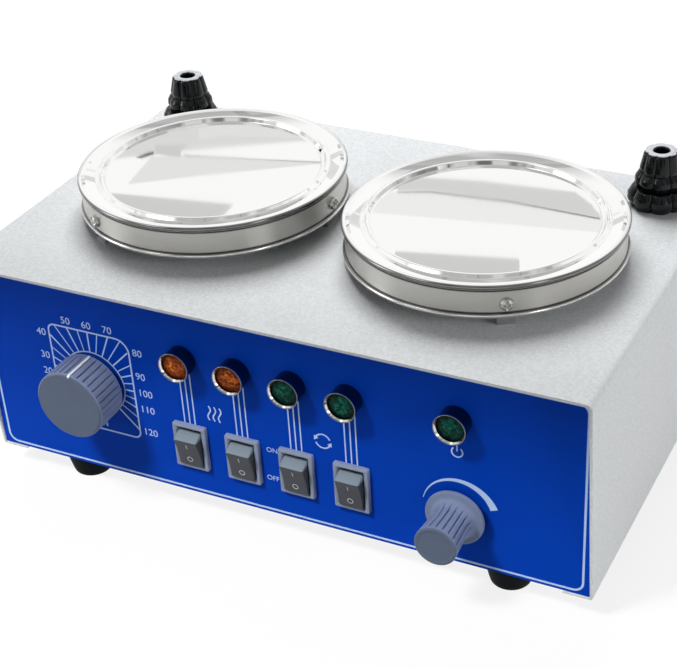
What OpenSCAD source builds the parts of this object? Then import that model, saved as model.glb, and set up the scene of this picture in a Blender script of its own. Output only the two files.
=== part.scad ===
/* [Case] */
// Width over the cover's side walls
case_w = 268; // [262:1:320]
// Depth of the cover's top from its eave to its back edge
case_d = 169; // [164:1:220]
// Height of the case without its feet
case_h = 94; // [90:1:130]
// Space between the bench and the bottom edge of the case
ground_gap = 10; // [7:0.5:20]
// Thickness of the folded steel sheet
sheet = 1.2; // [0.8:0.1:2]
// Outside radius of the cover's two long top folds
fold_r = 2.5; // [2.2:0.1:6]
// Reach of the top past the front panel
eave = 9; // [3:0.5:14]
// Depth of the rear wall inside the cover's back edge
rear_inset = 2; // [0.5:0.5:6]
// Width of the flanges folded under the chassis
flange_w = 12; // [9:0.5:16]
// Distance of the end flange screws from the case's front and back
flange_screw_inset = 30; // [20:1:40]
// Thickness of the blue front plate
panel_t = 0.6; // [0.4:0.1:1.5]

/* [Fits] */
// Gap between nested sheets
seam = 0.2; // [0.1:0.05:0.4]
// Radial clearance of a turning shaft in its bearing
run_fit = 0.05; // [0.02:0.01:0.1]
// Radial clearance of a fixed piece in its hole
hole_fit = 0.1; // [0.05:0.05:0.3]
// Gap kept round moving plastic pieces
move_gap = 0.3; // [0.3:0.05:0.5]

/* [Small screws] */
// Shank diameter
screw_d = 3; // [2.5:0.1:3.5]
// Head diameter
screw_head_d = 5.4; // [5:0.1:6]
// Head height
screw_head_h = 1.9; // [1.5:0.1:2.1]
// Length of the cross recess in a head
recess_l = 3.2; // [2.4:0.1:4]
// Width of the cross recess
recess_w = 0.8; // [0.5:0.1:1]
// Depth of the cross recess
recess_depth = 0.9; // [0.5:0.1:1.2]
// Length of a short screw in the piece that it holds
screw_bite = 5; // [4:0.1:6]
// Length of a screw past its nut
screw_tip = 0.6; // [0.2:0.1:1]
// Nut size across its flats
nut_af = 5.5; // [5:0.1:6.5]
// Nut height
nut_h = 2.4; // [1.8:0.1:3]

/* [Feet] */
// Diameter at the top of a foot
foot_top_d = 21; // [18:0.5:26]
// Diameter at the bench
foot_bottom_d = 16; // [12:0.5:18]
// Distance of a foot from the middle of the case, sideways
foot_x = 97; // [80:1:104]
// Distance of a foot from the middle of the case, front to back
foot_y = 64; // [50:1:66]
// Depth of the screw's recess in a foot
foot_recess = 5.4; // [4:0.1:6]
// Shank diameter of a foot screw
foot_screw_d = 4; // [3:0.5:5]
// Head diameter of a foot screw
foot_head_d = 7.5; // [7:0.1:8.5]
// Head height of a foot screw
foot_head_h = 2.6; // [2:0.1:3]

/* [Heating plates] */
// Diameter over a plate's rolled rim
plate_d = 112; // [108:1:117]
// Gap between the two rims
plate_gap = 9.7; // [5:0.1:12]
// Height of the rim above the case
plate_rise = 17.6; // [17:0.1:24]
// Height of the plate from its hem to its rim
plate_skirt = 13.7; // [12:0.1:14]
// Thickness of the plate's steel
plate_t = 0.8; // [0.6:0.1:1.2]
// Diameter of the sunk floor
floor_d = 91.6; // [90:0.2:94]
// Depth of the floor below the rim
floor_depth = 2; // [1.5:0.1:2.4]
// Diameter of the rolled bead round the rim
rim_bead_d = 2.8; // [2.4:0.1:3.4]
// Diameter of the rolled hem under the skirt
hem_bead_d = 1.8; // [1.6:0.1:2.4]
// How far the skirt stands inside the rim
skirt_inset = 1; // [0.6:0.1:1.2]
// Width of the ridge between the floor and the rim
ridge_d = 1.6; // [1.2:0.1:2]

/* [Heaters] */
// Diameter of the mica heater
heater_d = 86; // [70:1:88]
// Thickness of the mica heater
heater_t = 1.5; // [1:0.1:2]
// Thickness of the fibre pad under the heater
pad_t = 3; // [2:0.1:3.4]
// Thickness of the clamp disc
clamp_disc_t = 0.8; // [0.6:0.1:1.2]
// How far the clamp disc reaches past the heater
clamp_disc_lip = 2; // [1:0.1:3]
// Diameter of the stud that holds the stack
stud_d = 4; // [3:0.5:5]
// Stud nut across its flats
stud_nut_af = 7; // [6.5:0.1:8]
// Stud nut height
stud_nut_h = 2.6; // [2:0.1:3]

/* [Plate brackets] */
// Width of a bracket
bracket_w = 7; // [6:0.5:9]
// Thickness of a bracket
bracket_t = 1.2; // [1:0.1:1.6]
// Length of a bracket's foot
bracket_foot = 10; // [9:0.5:12]
// Height of the side screw above the case
side_screw_rise = 9.6; // [9:0.1:11]
// Height of a bracket above its side screw
bracket_cap = 3.2; // [2.4:0.1:4]
// Length of a side screw under its head
side_screw_l = 5; // [4:0.5:6]

/* [Stirring drive] */
// Motor diameter
motor_d = 37; // [32:1:40]
// Motor length
motor_l = 38; // [30:1:44]
// Diameter of the motor's bearing boss
motor_boss_d = 10; // [8:0.5:12]
// Height of the bearing boss above the motor plate
motor_boss_rise = 1; // [0.5:0.1:1.5]
// Spacing of the two motor screws
motor_screw_pitch = 20; // [19:0.5:24]
// Width of a motor's contact tab
motor_tab_w = 5; // [3:0.5:6]
// Thickness of a motor's contact tab
motor_tab_t = 1; // [0.6:0.1:1.2]
// Length of a motor's contact tab
motor_tab_l = 6; // [4:0.5:8]
// Spacing of a motor's contact tabs
motor_tab_pitch = 18; // [12:1:22]
// Motor plate width
motor_plate_w = 62; // [60:1:70]
// Motor plate depth
motor_plate_d = 54; // [52:1:60]
// Motor plate thickness
motor_plate_t = 1.5; // [1:0.1:2]
// Length of the spacers under the cover
spacer_l = 20; // [19:0.5:26]
// Spacer diameter
spacer_d = 6; // [5:0.5:7]
// Spacer spacing, sideways
spacer_x = 50; // [49:0.5:53]
// Spacer spacing, front to back
spacer_y = 42; // [41:0.5:44]
// Motor shaft diameter
shaft_d = 4; // [3:0.5:5]
// Depth of the shaft in the motor
shaft_depth = 24; // [15:1:28]
// Length of the magnet carrier
carrier_l = 48; // [44:1:50]
// Width of the magnet carrier
carrier_w = 14; // [13:0.5:18]
// Thickness of the magnet carrier
carrier_t = 8; // [7:0.5:9]
// Gap between the cover's sheet and the carrier
carrier_gap = 1.6; // [1.4:0.1:3]
// Diameter of the carrier's hub
hub_d = 12; // [9:0.5:13]
// Length of the hub under the carrier
hub_l = 5; // [4:0.5:6]
// Magnet diameter
magnet_d = 10; // [8:0.5:11]
// Magnet thickness
magnet_t = 4; // [3:0.5:5]
// Distance between the two magnets
magnet_pitch = 32; // [26:1:33]
// Diameter of the window in the cover under a plate
window_d = 56; // [54:0.5:58]

/* [Panel layout] */
// Distance of the timer and the speed knob from the middle
end_x = 80; // [79:0.5:95]
// Spacing of the switches and of their lamps
key_pitch = 24; // [22:0.5:25]
// Depth of the lamp row below the case top
lamp_drop = 27.4; // [24:0.1:30]
// Depth of the power lamp below the case top
power_drop = 25.7; // [20:0.1:32]
// Depth of the switch row below the case top
key_drop = 68.5; // [56:0.1:72]
// Depth of the timer's axis below the case top
timer_drop = 49; // [40:0.1:54]
// Depth of the speed knob's axis below the case top
speed_drop = 68.4; // [56:0.1:72]

/* [Timer] */
// Side of the timer's square body
timer_size = 46; // [40:1:50]
// Depth of the timer's body
timer_depth = 26; // [20:1:32]
// Diameter of the timer's bearing boss
timer_boss_d = 10; // [8:0.5:11]
// Diameter of the timer's shaft
timer_shaft_d = 6; // [5:0.5:7]
// Depth of the shaft in the timer's body
timer_shaft_depth = 13; // [10:0.5:16]
// Spacing of the two timer screws
timer_screw_pitch = 20; // [19:0.5:22]
// Diameter of the timer knob
timer_knob_d = 30; // [28:0.5:36]
// Length of the timer knob
timer_knob_l = 16.3; // [14:0.1:22]
// Thickness of the timer knob's plain front
timer_cap_t = 2; // [1.5:0.1:3]
// Number of flutes on the timer knob
timer_flutes = 40; // [36:1:56]
// Width of a knob flute
flute_d = 1.1; // [0.8:0.1:1.3]
// Turn of the timer's pointer from twelve o'clock
timer_pointer_turn = 8; // [0:1:60]
// Bevel round the front of a knob
knob_bevel = 0.8; // [0.4:0.1:1.2]
// Gap between a knob and the panel
knob_gap = 2.5; // [2.4:0.1:4]
// Depth of a shaft in its knob
knob_grip = 9; // [7:0.5:11]

/* [Speed control] */
// Diameter of the control's body
pot_d = 24; // [18:0.5:26]
// Depth of the control's body
pot_depth = 13; // [10:0.5:20]
// Diameter of the control's threaded bush
bush_d = 9; // [8:0.5:10]
// Bush nut across its flats
bush_nut_af = 12; // [11.8:0.1:14]
// Bush nut height
bush_nut_h = 2; // [1.5:0.1:2.1]
// Diameter of the control's shaft
pot_shaft_d = 6; // [5:0.5:6]
// Depth of the shaft in the control's body
pot_shaft_depth = 6.5; // [5:0.5:8]
// Width of a contact tab on the control
pot_tab_w = 2; // [1:0.1:3]
// Thickness of a contact tab on the control
pot_tab_t = 0.8; // [0.5:0.1:1]
// Reach of a contact tab past the control's body
pot_tab_l = 5; // [3:0.5:6]
// Spacing of the contact tabs on the control
pot_tab_pitch = 5; // [4:0.5:6]
// Diameter of the knob's skirt
speed_skirt_d = 24; // [22:0.5:28]
// Thickness of the knob's skirt
speed_skirt_t = 1.6; // [1.2:0.1:2.4]
// Diameter of the knob's waist
speed_waist_d = 15.4; // [14:0.2:16]
// Diameter of the knob's face
speed_face_d = 17; // [16.4:0.2:20]
// Length of the knob
speed_knob_l = 19.6; // [18:0.1:24]
// Number of flutes on the knob
speed_flutes = 20; // [16:1:28]

/* [Switches] */
// Width of a switch's bezel
key_w = 15; // [14.4:0.1:17]
// Height of a switch's bezel
key_h = 21; // [20.4:0.1:24]
// Thickness of the bezel
key_bezel = 2; // [1.6:0.1:2.4]
// Width of the switch body behind the bezel
key_body_w = 13; // [12.6:0.1:14]
// Height of the switch body behind the bezel
key_body_h = 19.2; // [18.8:0.1:20]
// Depth of the switch body
key_depth = 15; // [14:0.5:20]
// Side wall of the switch body
key_wall = 1; // [0.8:0.1:1.2]
// Height of the rocker's opening
key_open_h = 17.6; // [17.2:0.1:18]
// Depth of the rocker's pivot behind the panel's face
pivot_in = 2.6; // [2.4:0.1:3.2]
// Diameter of the rocker's pins
pin_d = 2; // [1.6:0.1:2.4]
// Turn of a rocker from off to on
rocker_throw = 26; // [20:1:28]
// Height of the rocker's tips over its pivot
tip_rise = 7.2; // [6.6:0.1:7.6]
// Distance between the rocker's tips
tip_span = 14; // [12:0.1:14.4]
// Depth of the finger hollow in the rocker
finger_hollow = 0.6; // [0.3:0.1:1]
// Height of the rocker's shoulders over its pivot
shoulder_rise = 2.5; // [2:0.1:3]
// How far the rocker narrows below its shoulders
keel_inset = 1.8; // [1:0.1:3]
// Depth of the rocker's underside below its pivot
keel_drop = 1.6; // [1.4:0.1:2.4]
// Width of a switch's contact blade
blade_w = 4.8; // [3:0.1:6]
// Thickness of a switch's contact blade
blade_t = 0.8; // [0.5:0.1:1]
// Length of a switch's contact blade
blade_l = 7; // [5:0.5:9]
// Spacing of a switch's contact blades
blade_pitch = 6; // [5:0.5:7]

/* [Lamps] */
// Diameter of a lamp's front lip
lamp_d = 13; // [12.4:0.1:15]
// Reach of a lamp in front of the panel
lamp_rise = 7.2; // [6:0.1:9]
// Length of the front lip
lamp_lip = 1.4; // [1:0.1:2]
// Step from the lip to the tube
lamp_step = 0.5; // [0.2:0.1:0.6]
// Diameter of the threaded barrel
barrel_d = 9.6; // [8.6:0.2:10]
// Length of the barrel behind the panel's face
barrel_l = 18; // [12:0.5:24]
// Diameter of a lens
lens_d = 10.6; // [9.6:0.1:10.8]
// Depth of the lens's socket
socket_depth = 5.6; // [4.5:0.1:5.8]
// Depth of the lens below the lip
lens_inset = 0.7; // [0.4:0.1:1.2]
// Height of the lens's dome
lens_dome = 0.9; // [0.5:0.1:1.4]
// Lamp nut across its flats
lamp_nut_af = 13; // [12:0.1:15]
// Lamp nut height
lamp_nut_h = 3; // [2:0.1:4]

/* [Rod clamps] */
// Distance of a clamp from the middle of the case, sideways
clamp_x = 111; // [106:0.5:116]
// Distance of a clamp from the middle of the case, front to back
clamp_y = 64.5; // [60:0.5:66]
// Diameter of the support rod
rod_d = 6; // [5:0.5:7]
// Diameter of the clamp's base
clamp_base_d = 26; // [24:0.5:28]
// Height of the clamp's base
clamp_base_h = 8.2; // [7:0.1:10]
// Diameter of the turning nut's grip
clamp_grip_d = 20.6; // [18:0.2:22]
// Height of the turning nut's grip
clamp_grip_h = 6.4; // [5:0.1:7.5]
// Diameter of the nut's cone at its foot
clamp_cone_d = 16.4; // [15:0.2:17]
// Diameter of the nut's top
clamp_top_d = 13.8; // [12.5:0.1:14.6]
// Height of the nut's top above the case
clamp_h = 23.7; // [22:0.1:28]
// Thickness of the nut's top
clamp_crown_t = 2.4; // [2:0.1:3.5]
// Diameter of the threaded spigot inside the nut
spigot_d = 10; // [9.4:0.1:10.4]
// Length of the stem below the cover's sheet
stem_l = 12; // [9:0.5:16]
// Thickness under the rod
stem_floor = 2; // [1:0.5:3]
// Number of grip lobes
clamp_lobes = 8; // [6:1:10]
// Diameter of a grip lobe
lobe_d = 5; // [4:0.2:6]
// How far the lobes stop short of a grip's top
lobe_drop = 1; // [0.4:0.1:2]
// Lock nut across its flats
lock_nut_af = 15; // [14:0.5:18]
// Lock nut height
lock_nut_h = 4; // [3:0.5:5]

/* [Rear wall] */
// Distance of the fuse from the middle
fuse_x = 95; // [60:1:100]
// Height of the fuse above the bench
fuse_z = 62; // [50:1:70]
// Diameter of the fuse holder's body
fuse_body_d = 13; // [12:0.5:14]
// Length of the fuse holder inside the case
fuse_body_l = 32; // [30:1:38]
// Diameter of the fuse holder's flange
fuse_flange_d = 17; // [15:0.5:19]
// Thickness of the fuse holder's flange
fuse_flange_t = 2; // [1.5:0.1:3]
// Thickness of the ring nut behind the wall
fuse_nut_t = 4; // [2:0.5:6]
// Diameter of the fuse cap
fuse_cap_d = 14; // [12.6:0.2:16]
// Length of the fuse cap's head
fuse_cap_l = 12; // [10:0.5:13]
// Diameter of the cap's stem
fuse_stem_d = 8; // [7.4:0.1:8.4]
// Length of the cap's stem
fuse_stem_l = 24; // [22:0.5:26]
// Length of the coin slot in the fuse cap
coin_slot_l = 10; // [8:0.5:11]
// Width of the coin slot
coin_slot_w = 1.2; // [1:0.1:1.6]
// Depth of the coin slot
coin_slot_depth = 1.2; // [0.8:0.1:2]
// Diameter of the glass fuse
fuse_d = 5.2; // [4.8:0.1:5.4]
// Length of the glass fuse
fuse_l = 20; // [18:0.5:21]
// Distance of the cord gland from the middle
gland_x = 95; // [60:1:105]
// Height of the cord gland above the bench
gland_z = 36; // [28:1:50]
// Diameter of the gland's cord hole
gland_bore_d = 7; // [6:0.1:8]
// Diameter of the gland's body in the wall
gland_body_d = 13; // [11:0.5:15]
// Diameter of the gland's flanges
gland_flange_d = 19; // [17:0.5:22]
// Thickness of a gland flange
gland_flange_t = 5; // [3:0.5:7]
// Number of air slots
slot_count = 9; // [5:1:12]
// Spacing of the air slots
slot_pitch = 8; // [6:0.5:9]
// Width of an air slot
slot_w = 3; // [2:0.1:4]
// Height of an air slot
slot_h = 32; // [20:1:40]
// Height of the slots' middle above the bench
slot_z = 62; // [50:1:70]

/* [Electrics] */
// Width of the transformer's core
core_w = 54; // [44:1:58]
// Height of the transformer's core
core_h = 45; // [38:1:50]
// Depth of the transformer's core
core_d = 22; // [18:1:26]
// Width of the winding
coil_w = 34; // [26:1:38]
// Depth of the winding
coil_d = 40; // [32:1:44]
// Height of the winding
coil_h = 29; // [22:1:32]
// Width over the transformer's feet
core_foot_w = 74; // [68:1:78]
// Thickness of the transformer's foot strap
core_strap_t = 1.5; // [1:0.1:2]
// Distance of the transformer behind the middle
core_y = 36; // [30:1:42]
// Width of the control board
board_w = 62; // [56:1:70]
// Depth of the control board
board_d = 56; // [50:1:60]
// Thickness of the control board
board_t = 1.6; // [1:0.1:2]
// Height of the board above the floor
board_rise = 6; // [5:0.5:9]
// Distance of the board from the middle
board_x = 80; // [74:1:84]
// Diameter of a board post
board_post_d = 6; // [5:0.5:7]
// Diameter of a board post's snap tip
board_tip_d = 2.8; // [2.2:0.1:3.2]
// Distance of a post from the board's edge
board_edge = 5; // [4.5:0.5:7]
// Overhang of a post's snap barb
board_barb = 0.5; // [0.3:0.1:0.8]
// Length of a post's snap barb
board_barb_l = 2; // [1:0.1:3]
// Width of the heat sink on the board
sink_w = 31; // [20:1:40]
// Thickness of the heat sink
sink_t = 3; // [2:0.5:5]
// Height of the heat sink
sink_h = 14; // [8:1:16]
// Diameter of a capacitor on the board
capacitor_d = 10; // [6:0.5:11]
// Height of a capacitor on the board
capacitor_h = 13; // [8:1:16]
// Spacing of the capacitors and of their row from the heat sink
capacitor_pitch = 20; // [14:1:24]
// Reach of a lug at each end of the terminal block
block_lug = 6; // [5:0.5:8]
// Diameter of a wire screw's well in the terminal block
block_well_d = 3.6; // [2.4:0.1:4]
// Depth of a wire screw's well
block_well = 7; // [4:0.5:8]
// Length of a base screw in the piece that it holds
base_bite = 3; // [2:0.1:3.4]
// Width of the terminal block
block_w = 56; // [44:1:64]
// Depth of the terminal block
block_d = 17; // [14:1:22]
// Height of the terminal block
block_h = 15; // [12:1:20]
// Number of ways in the terminal block
block_ways = 6; // [4:1:8]
// Distance of the terminal block from the middle
block_x = 80; // [70:1:88]

/* [Hidden] */
$fn = 64;
eps = 0.01;
past = 1;

// Heights above the bench
case_top = ground_gap + case_h;
cover_under = case_top - sheet;
tray_z = ground_gap + sheet + seam;
tray_top = tray_z + sheet;
wall_top = cover_under - seam;

// Front and rear faces
front_y = -case_d / 2 + eave;
wall_y = front_y + panel_t;
rear_y = case_d / 2 - rear_inset;
tray_w = case_w - 2 * sheet - 2 * seam;
wall_in = panel_t + sheet;

// Plates and what hangs under them
plate_x = (plate_d + plate_gap) / 2;
rim_z = case_top + plate_rise;
hem_z = rim_z - plate_skirt;
floor_z = rim_z - floor_depth;
floor_under = floor_z - plate_t;
skirt_r = plate_d / 2 - skirt_inset;
skirt_in = skirt_r - plate_t;
heater_z = floor_under - heater_t;
pad_z = heater_z - pad_t;
clamp_disc_z = pad_z - clamp_disc_t;
clamp_disc_d = heater_d + 2 * clamp_disc_lip;
stud_end = clamp_disc_z - stud_nut_h - screw_tip;
bracket_out = sqrt(skirt_in * skirt_in - bracket_w * bracket_w / 4) - hole_fit;
bracket_h = side_screw_rise + bracket_cap;
foot_screw_r = bracket_out - bracket_t - bracket_foot / 2;
bracket_turns = [0, 120, 240];

// Stirring drive
plate_under = cover_under - spacer_l;
motor_top = plate_under - motor_plate_t;
carrier_top = cover_under - carrier_gap;
carrier_z = carrier_top - carrier_t;
hub_z = carrier_z - hub_l;
shaft_bottom = motor_top - shaft_depth;

// Panel places, each a distance from the middle and a depth below the case top
key_places = [for (i = [0:3]) [(i - 1.5) * key_pitch, key_drop]];
orange_places = [for (i = [0:1]) [(i - 1.5) * key_pitch, lamp_drop]];
green_places = [[key_pitch / 2, lamp_drop], [1.5 * key_pitch, lamp_drop], [end_x, power_drop]];
lamp_places = concat(orange_places, green_places);

// Switches
key_open_w = key_body_w - 2 * key_wall;
rocker_w = key_open_w - 2 * move_gap;
sweep_r = key_open_h / 2 - move_gap;
shoulder_v = sqrt(sweep_r * sweep_r - shoulder_rise * shoulder_rise);
keel_v = shoulder_v - keel_inset;
hollow_r = (tip_span * tip_span / 4 + finger_hollow * finger_hollow) / (2 * finger_hollow);
key_floor = pivot_in + sqrt(keel_v * keel_v + keel_drop * keel_drop) + 2 * move_gap;

// Lamps
lens_floor = lamp_rise - socket_depth;
lens_top = lamp_rise - lens_inset;
dome_r = (lens_d * lens_d / 4 + lens_dome * lens_dome) / (2 * lens_dome);

// Rod clamps
rod_bore_r = rod_d / 2 + run_fit;
nut_foot = case_top + clamp_base_h + move_gap;
nut_cone = nut_foot + clamp_grip_h;
nut_top = case_top + clamp_h;
spigot_top = nut_top - clamp_crown_t - move_gap;
stem_z = cover_under - stem_l;

// Rear wall
fuse_cap_y = fuse_flange_t + move_gap;

// Screws under the case
flange_screw_x = case_w / 2 - flange_w / 2 - sheet / 2;
flange_screw_y = case_d / 2 - flange_screw_inset;
core_hole_x = (core_w + core_foot_w) / 4;
block_hole_x = block_w / 2 - block_lug / 2;
block_pitch = (block_w - 2 * block_lug) / block_ways;
board_post_x = board_w / 2 - board_edge;
board_post_y = board_d / 2 - board_edge;
base_screw_places = concat(
    [for (s = [-1, 1]) [s * core_hole_x, core_y]],
    [for (s = [-1, 1]) [-block_x + s * block_hole_x, 0]],
    [for (sx = [-1, 1], sy = [-1, 1]) [board_x + sx * board_post_x, sy * board_post_y]]);
flange_screw_places = [for (sx = [-1, 1], sy = [-1, 0, 1]) [sx * flange_screw_x, sy * flange_screw_y]];
foot_places = [for (sx = [-1, 1], sy = [-1, 1]) [sx * foot_x, sy * foot_y]];

// Places a child on the panel's face: x to the right, y up, z out of the panel
module on_panel(place) {
    translate([place[0], front_y, case_top - place[1]]) rotate([90, 0, 0]) children();
}

// Places a child on the rear wall's outer face, with z out of the wall
module on_rear(x, z) {
    translate([x, rear_y, z]) rotate([-90, 0, 0]) children();
}

// Copies a child to both plate centres
module both_plates() {
    for (s = [-1, 1]) translate([s * plate_x, 0, 0]) children();
}

// Turns a child to each bracket of both plates; the right plate mirrors the left one
module each_bracket() {
    for (a = bracket_turns) {
        translate([-plate_x, 0, 0]) rotate(a) children();
        translate([plate_x, 0, 0]) rotate(180 + a) children();
    }
}

// Copies a child to the four spacer places round a plate's centre
module spacer_places() {
    for (sx = [-1, 1], sy = [-1, 1]) translate([sx * spacer_x / 2, sy * spacer_y / 2, 0]) children();
}

// Cross-recessed screw with its head above z = 0 and its shank below
module cross_screw(d, l, head_d, head_h) {
    difference() {
        union() {
            cylinder(d = head_d, h = head_h);
            translate([0, 0, -l]) cylinder(d = d, h = l + eps);
        }
        for (a = [0, 90]) rotate(a) translate([0, 0, head_h])
            cube([recess_l, recess_w, 2 * recess_depth], center = true);
    }
}

// Six-sided nut standing on z = 0
module hex_nut(af, h, hole_d) {
    difference() {
        cylinder(d = af / cos(30), h = h, $fn = 6);
        translate([0, 0, -past]) cylinder(d = hole_d, h = h + 2 * past);
    }
}

// Round post with a hole down its axis
module tube(outer_d, inner_d, h) {
    difference() {
        cylinder(d = outer_d, h = h);
        translate([0, 0, -past]) cylinder(d = inner_d, h = h + 2 * past);
    }
}

// Outline of a sheet fold: a rectangle whose two upper corners are round
module arch(w, z0, z1, r) {
    translate([-w / 2, z0]) square([w, z1 - z0 - r]);
    translate([-w / 2 + r, z0]) square([w - 2 * r, z1 - z0]);
    for (s = [-1, 1]) translate([s * (w / 2 - r), z1 - r]) circle(r);
}

module top_cover() color("whitesmoke") difference() {
    intersection() {
        rotate([90, 0, 0]) linear_extrude(case_d + 2 * past, center = true) difference() {
            arch(case_w, ground_gap, case_top, fold_r);
            arch(case_w - 2 * sheet, ground_gap + sheet, cover_under, fold_r - sheet);
            translate([-case_w / 2 + flange_w, 0]) square([case_w - 2 * flange_w, ground_gap + 2 * sheet]);
        }
        rotate([90, 0, 90]) linear_extrude(case_w + 2 * past, center = true) polygon([
            [-case_d / 2, case_top + past], [-case_d / 2, cover_under], [front_y, ground_gap - eps],
            [case_d / 2, ground_gap - eps], [case_d / 2, case_top + past]]);
    }
    both_plates() translate([0, 0, cover_under - past]) cylinder(d = window_d, h = sheet + 2 * past);
    both_plates() spacer_places() translate([0, 0, cover_under - past])
        cylinder(d = screw_d + 2 * hole_fit, h = sheet + 2 * past);
    each_bracket() translate([foot_screw_r, 0, cover_under - past])
        cylinder(d = screw_d + 2 * hole_fit, h = sheet + 2 * past);
    for (s = [-1, 1]) translate([s * clamp_x, clamp_y, cover_under - past])
        cylinder(d = spigot_d + 2 * hole_fit, h = sheet + 2 * past);
    for (p = flange_screw_places) translate([p[0], p[1], ground_gap - past])
        cylinder(d = screw_d + 2 * hole_fit, h = sheet + 2 * past);
}

// Openings shared by the blue plate and the chassis's front wall
module panel_openings() {
    deep = wall_in + 2 * past;
    for (p = lamp_places) on_panel(p) translate([0, 0, -deep + past])
        cylinder(d = barrel_d + 2 * hole_fit, h = deep);
    for (p = key_places) on_panel(p) translate([0, 0, past - deep / 2])
        cube([key_body_w + 2 * hole_fit, key_body_h + 2 * hole_fit, deep], center = true);
    on_panel([-end_x, timer_drop]) translate([0, 0, -deep + past]) {
        cylinder(d = timer_boss_d + 2 * hole_fit, h = deep);
        for (s = [-1, 1]) translate([s * timer_screw_pitch / 2, 0, 0])
            cylinder(d = screw_d + 2 * hole_fit, h = deep);
    }
    on_panel([end_x, speed_drop]) translate([0, 0, -deep + past])
        cylinder(d = bush_d + 2 * hole_fit, h = deep);
}

// Upright sheet across the case from y towards the rear, round where the cover folds over it
module upright(y, t) {
    translate([0, y + t, 0]) rotate([90, 0, 0]) linear_extrude(t) arch(tray_w, tray_z, wall_top, fold_r);
}

module chassis() color("lightgray") difference() {
    union() {
        translate([-tray_w / 2, wall_y, tray_z]) cube([tray_w, rear_y - wall_y, sheet]);
        upright(wall_y, sheet);
        upright(rear_y - sheet, sheet);
    }
    panel_openings();
    on_rear(fuse_x, fuse_z) translate([0, 0, -sheet - past])
        cylinder(d = fuse_body_d + 2 * hole_fit, h = sheet + 2 * past);
    on_rear(-gland_x, gland_z) translate([0, 0, -sheet - past])
        cylinder(d = gland_body_d + 2 * hole_fit, h = sheet + 2 * past);
    for (i = [0:slot_count - 1])
        translate([(i - (slot_count - 1) / 2) * slot_pitch, rear_y - sheet / 2, slot_z])
            cube([slot_w, sheet + 2 * past, slot_h], center = true);
    for (p = foot_places) translate([p[0], p[1], tray_z - past])
        cylinder(d = foot_screw_d + 2 * hole_fit, h = sheet + 2 * past);
    for (p = concat(base_screw_places, flange_screw_places)) translate([p[0], p[1], tray_z - past])
        cylinder(d = screw_d + 2 * hole_fit, h = sheet + 2 * past);
}

module front_panel() color("mediumblue") difference() {
    upright(front_y, panel_t);
    panel_openings();
}

module rubber_feet() color("#1c1c1e") for (p = foot_places) translate([p[0], p[1], 0]) difference() {
    cylinder(d1 = foot_bottom_d, d2 = foot_top_d, h = tray_z);
    translate([0, 0, -past]) cylinder(d = foot_screw_d + 2 * hole_fit, h = tray_z + 2 * past);
    translate([0, 0, -past]) cylinder(d = foot_head_d + 2 * hole_fit, h = foot_recess + past);
}

module foot_screws() color("silver") for (p = foot_places) translate([p[0], p[1], 0]) {
    translate([0, 0, foot_recess]) rotate([180, 0, 0])
        cross_screw(foot_screw_d, tray_top - foot_recess + nut_h + screw_tip, foot_head_d, foot_head_h);
    translate([0, 0, tray_top]) hex_nut(foot_head_d, nut_h, foot_screw_d);
}

module bottom_screws() color("silver") {
    for (p = base_screw_places) translate([p[0], p[1], tray_z]) rotate([180, 0, 0])
        cross_screw(screw_d, sheet + base_bite, screw_head_d, screw_head_h);
    for (p = flange_screw_places) translate([p[0], p[1], ground_gap]) rotate([180, 0, 0])
        cross_screw(screw_d, tray_top - ground_gap + nut_h, screw_head_d, screw_head_h);
    for (p = flange_screw_places) translate([p[0], p[1], tray_top]) hex_nut(nut_af, nut_h, screw_d);
}

// Half outline of a plate: sunk floor, ridge, flat rim, rolled bead, skirt and rolled hem
module plate_outline() {
    floor_r = floor_d / 2;
    rim_r = plate_d / 2;
    shelf_z = rim_z - rim_bead_d / 2;
    translate([0, floor_under]) square([floor_r, plate_t]);
    polygon([[floor_r - plate_t, floor_under], [floor_r, floor_under], [floor_r + ridge_d, shelf_z],
        [floor_r + ridge_d, shelf_z + plate_t / 2], [floor_r - plate_t / 2, floor_z]]);
    translate([floor_r + ridge_d / 2 + plate_t / 2, rim_z - ridge_d / 2]) circle(d = ridge_d);
    translate([floor_r + ridge_d / 2, shelf_z - plate_t / 2])
        square([rim_r - floor_r - ridge_d - rim_bead_d / 4, plate_t]);
    translate([rim_r - rim_bead_d / 2, shelf_z]) circle(d = rim_bead_d);
    translate([skirt_in, hem_z + hem_bead_d / 2]) square([plate_t, shelf_z - hem_z - hem_bead_d / 2]);
    translate([rim_r - hem_bead_d / 2, hem_z + hem_bead_d / 2]) circle(d = hem_bead_d);
}

module heating_plate(turn) difference() {
    union() {
        rotate_extrude() plate_outline();
        translate([0, 0, stud_end]) cylinder(d = stud_d, h = floor_under - stud_end + eps);
    }
    for (a = bracket_turns) rotate(turn + a) translate([skirt_in - past, 0, case_top + side_screw_rise])
        rotate([0, 90, 0]) cylinder(d = screw_d + 2 * hole_fit, h = plate_t + 2 * past);
}

module heating_plate_left() color("lightsteelblue") translate([-plate_x, 0, 0]) heating_plate(0);
module heating_plate_right() color("lightsteelblue") translate([plate_x, 0, 0]) heating_plate(180);

module plate_brackets() color("silver") each_bracket() difference() {
    union() {
        translate([bracket_out - bracket_t, -bracket_w / 2, case_top])
            cube([bracket_t, bracket_w, bracket_h]);
        translate([bracket_out - bracket_foot - bracket_t, -bracket_w / 2, case_top])
            cube([bracket_foot + bracket_t, bracket_w, bracket_t]);
    }
    translate([bracket_out - bracket_t - past, 0, case_top + side_screw_rise]) rotate([0, 90, 0])
        cylinder(d = screw_d + 2 * hole_fit, h = bracket_t + 2 * past);
    translate([foot_screw_r, 0, case_top - past])
        cylinder(d = screw_d + 2 * hole_fit, h = bracket_t + 2 * past);
}

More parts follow.
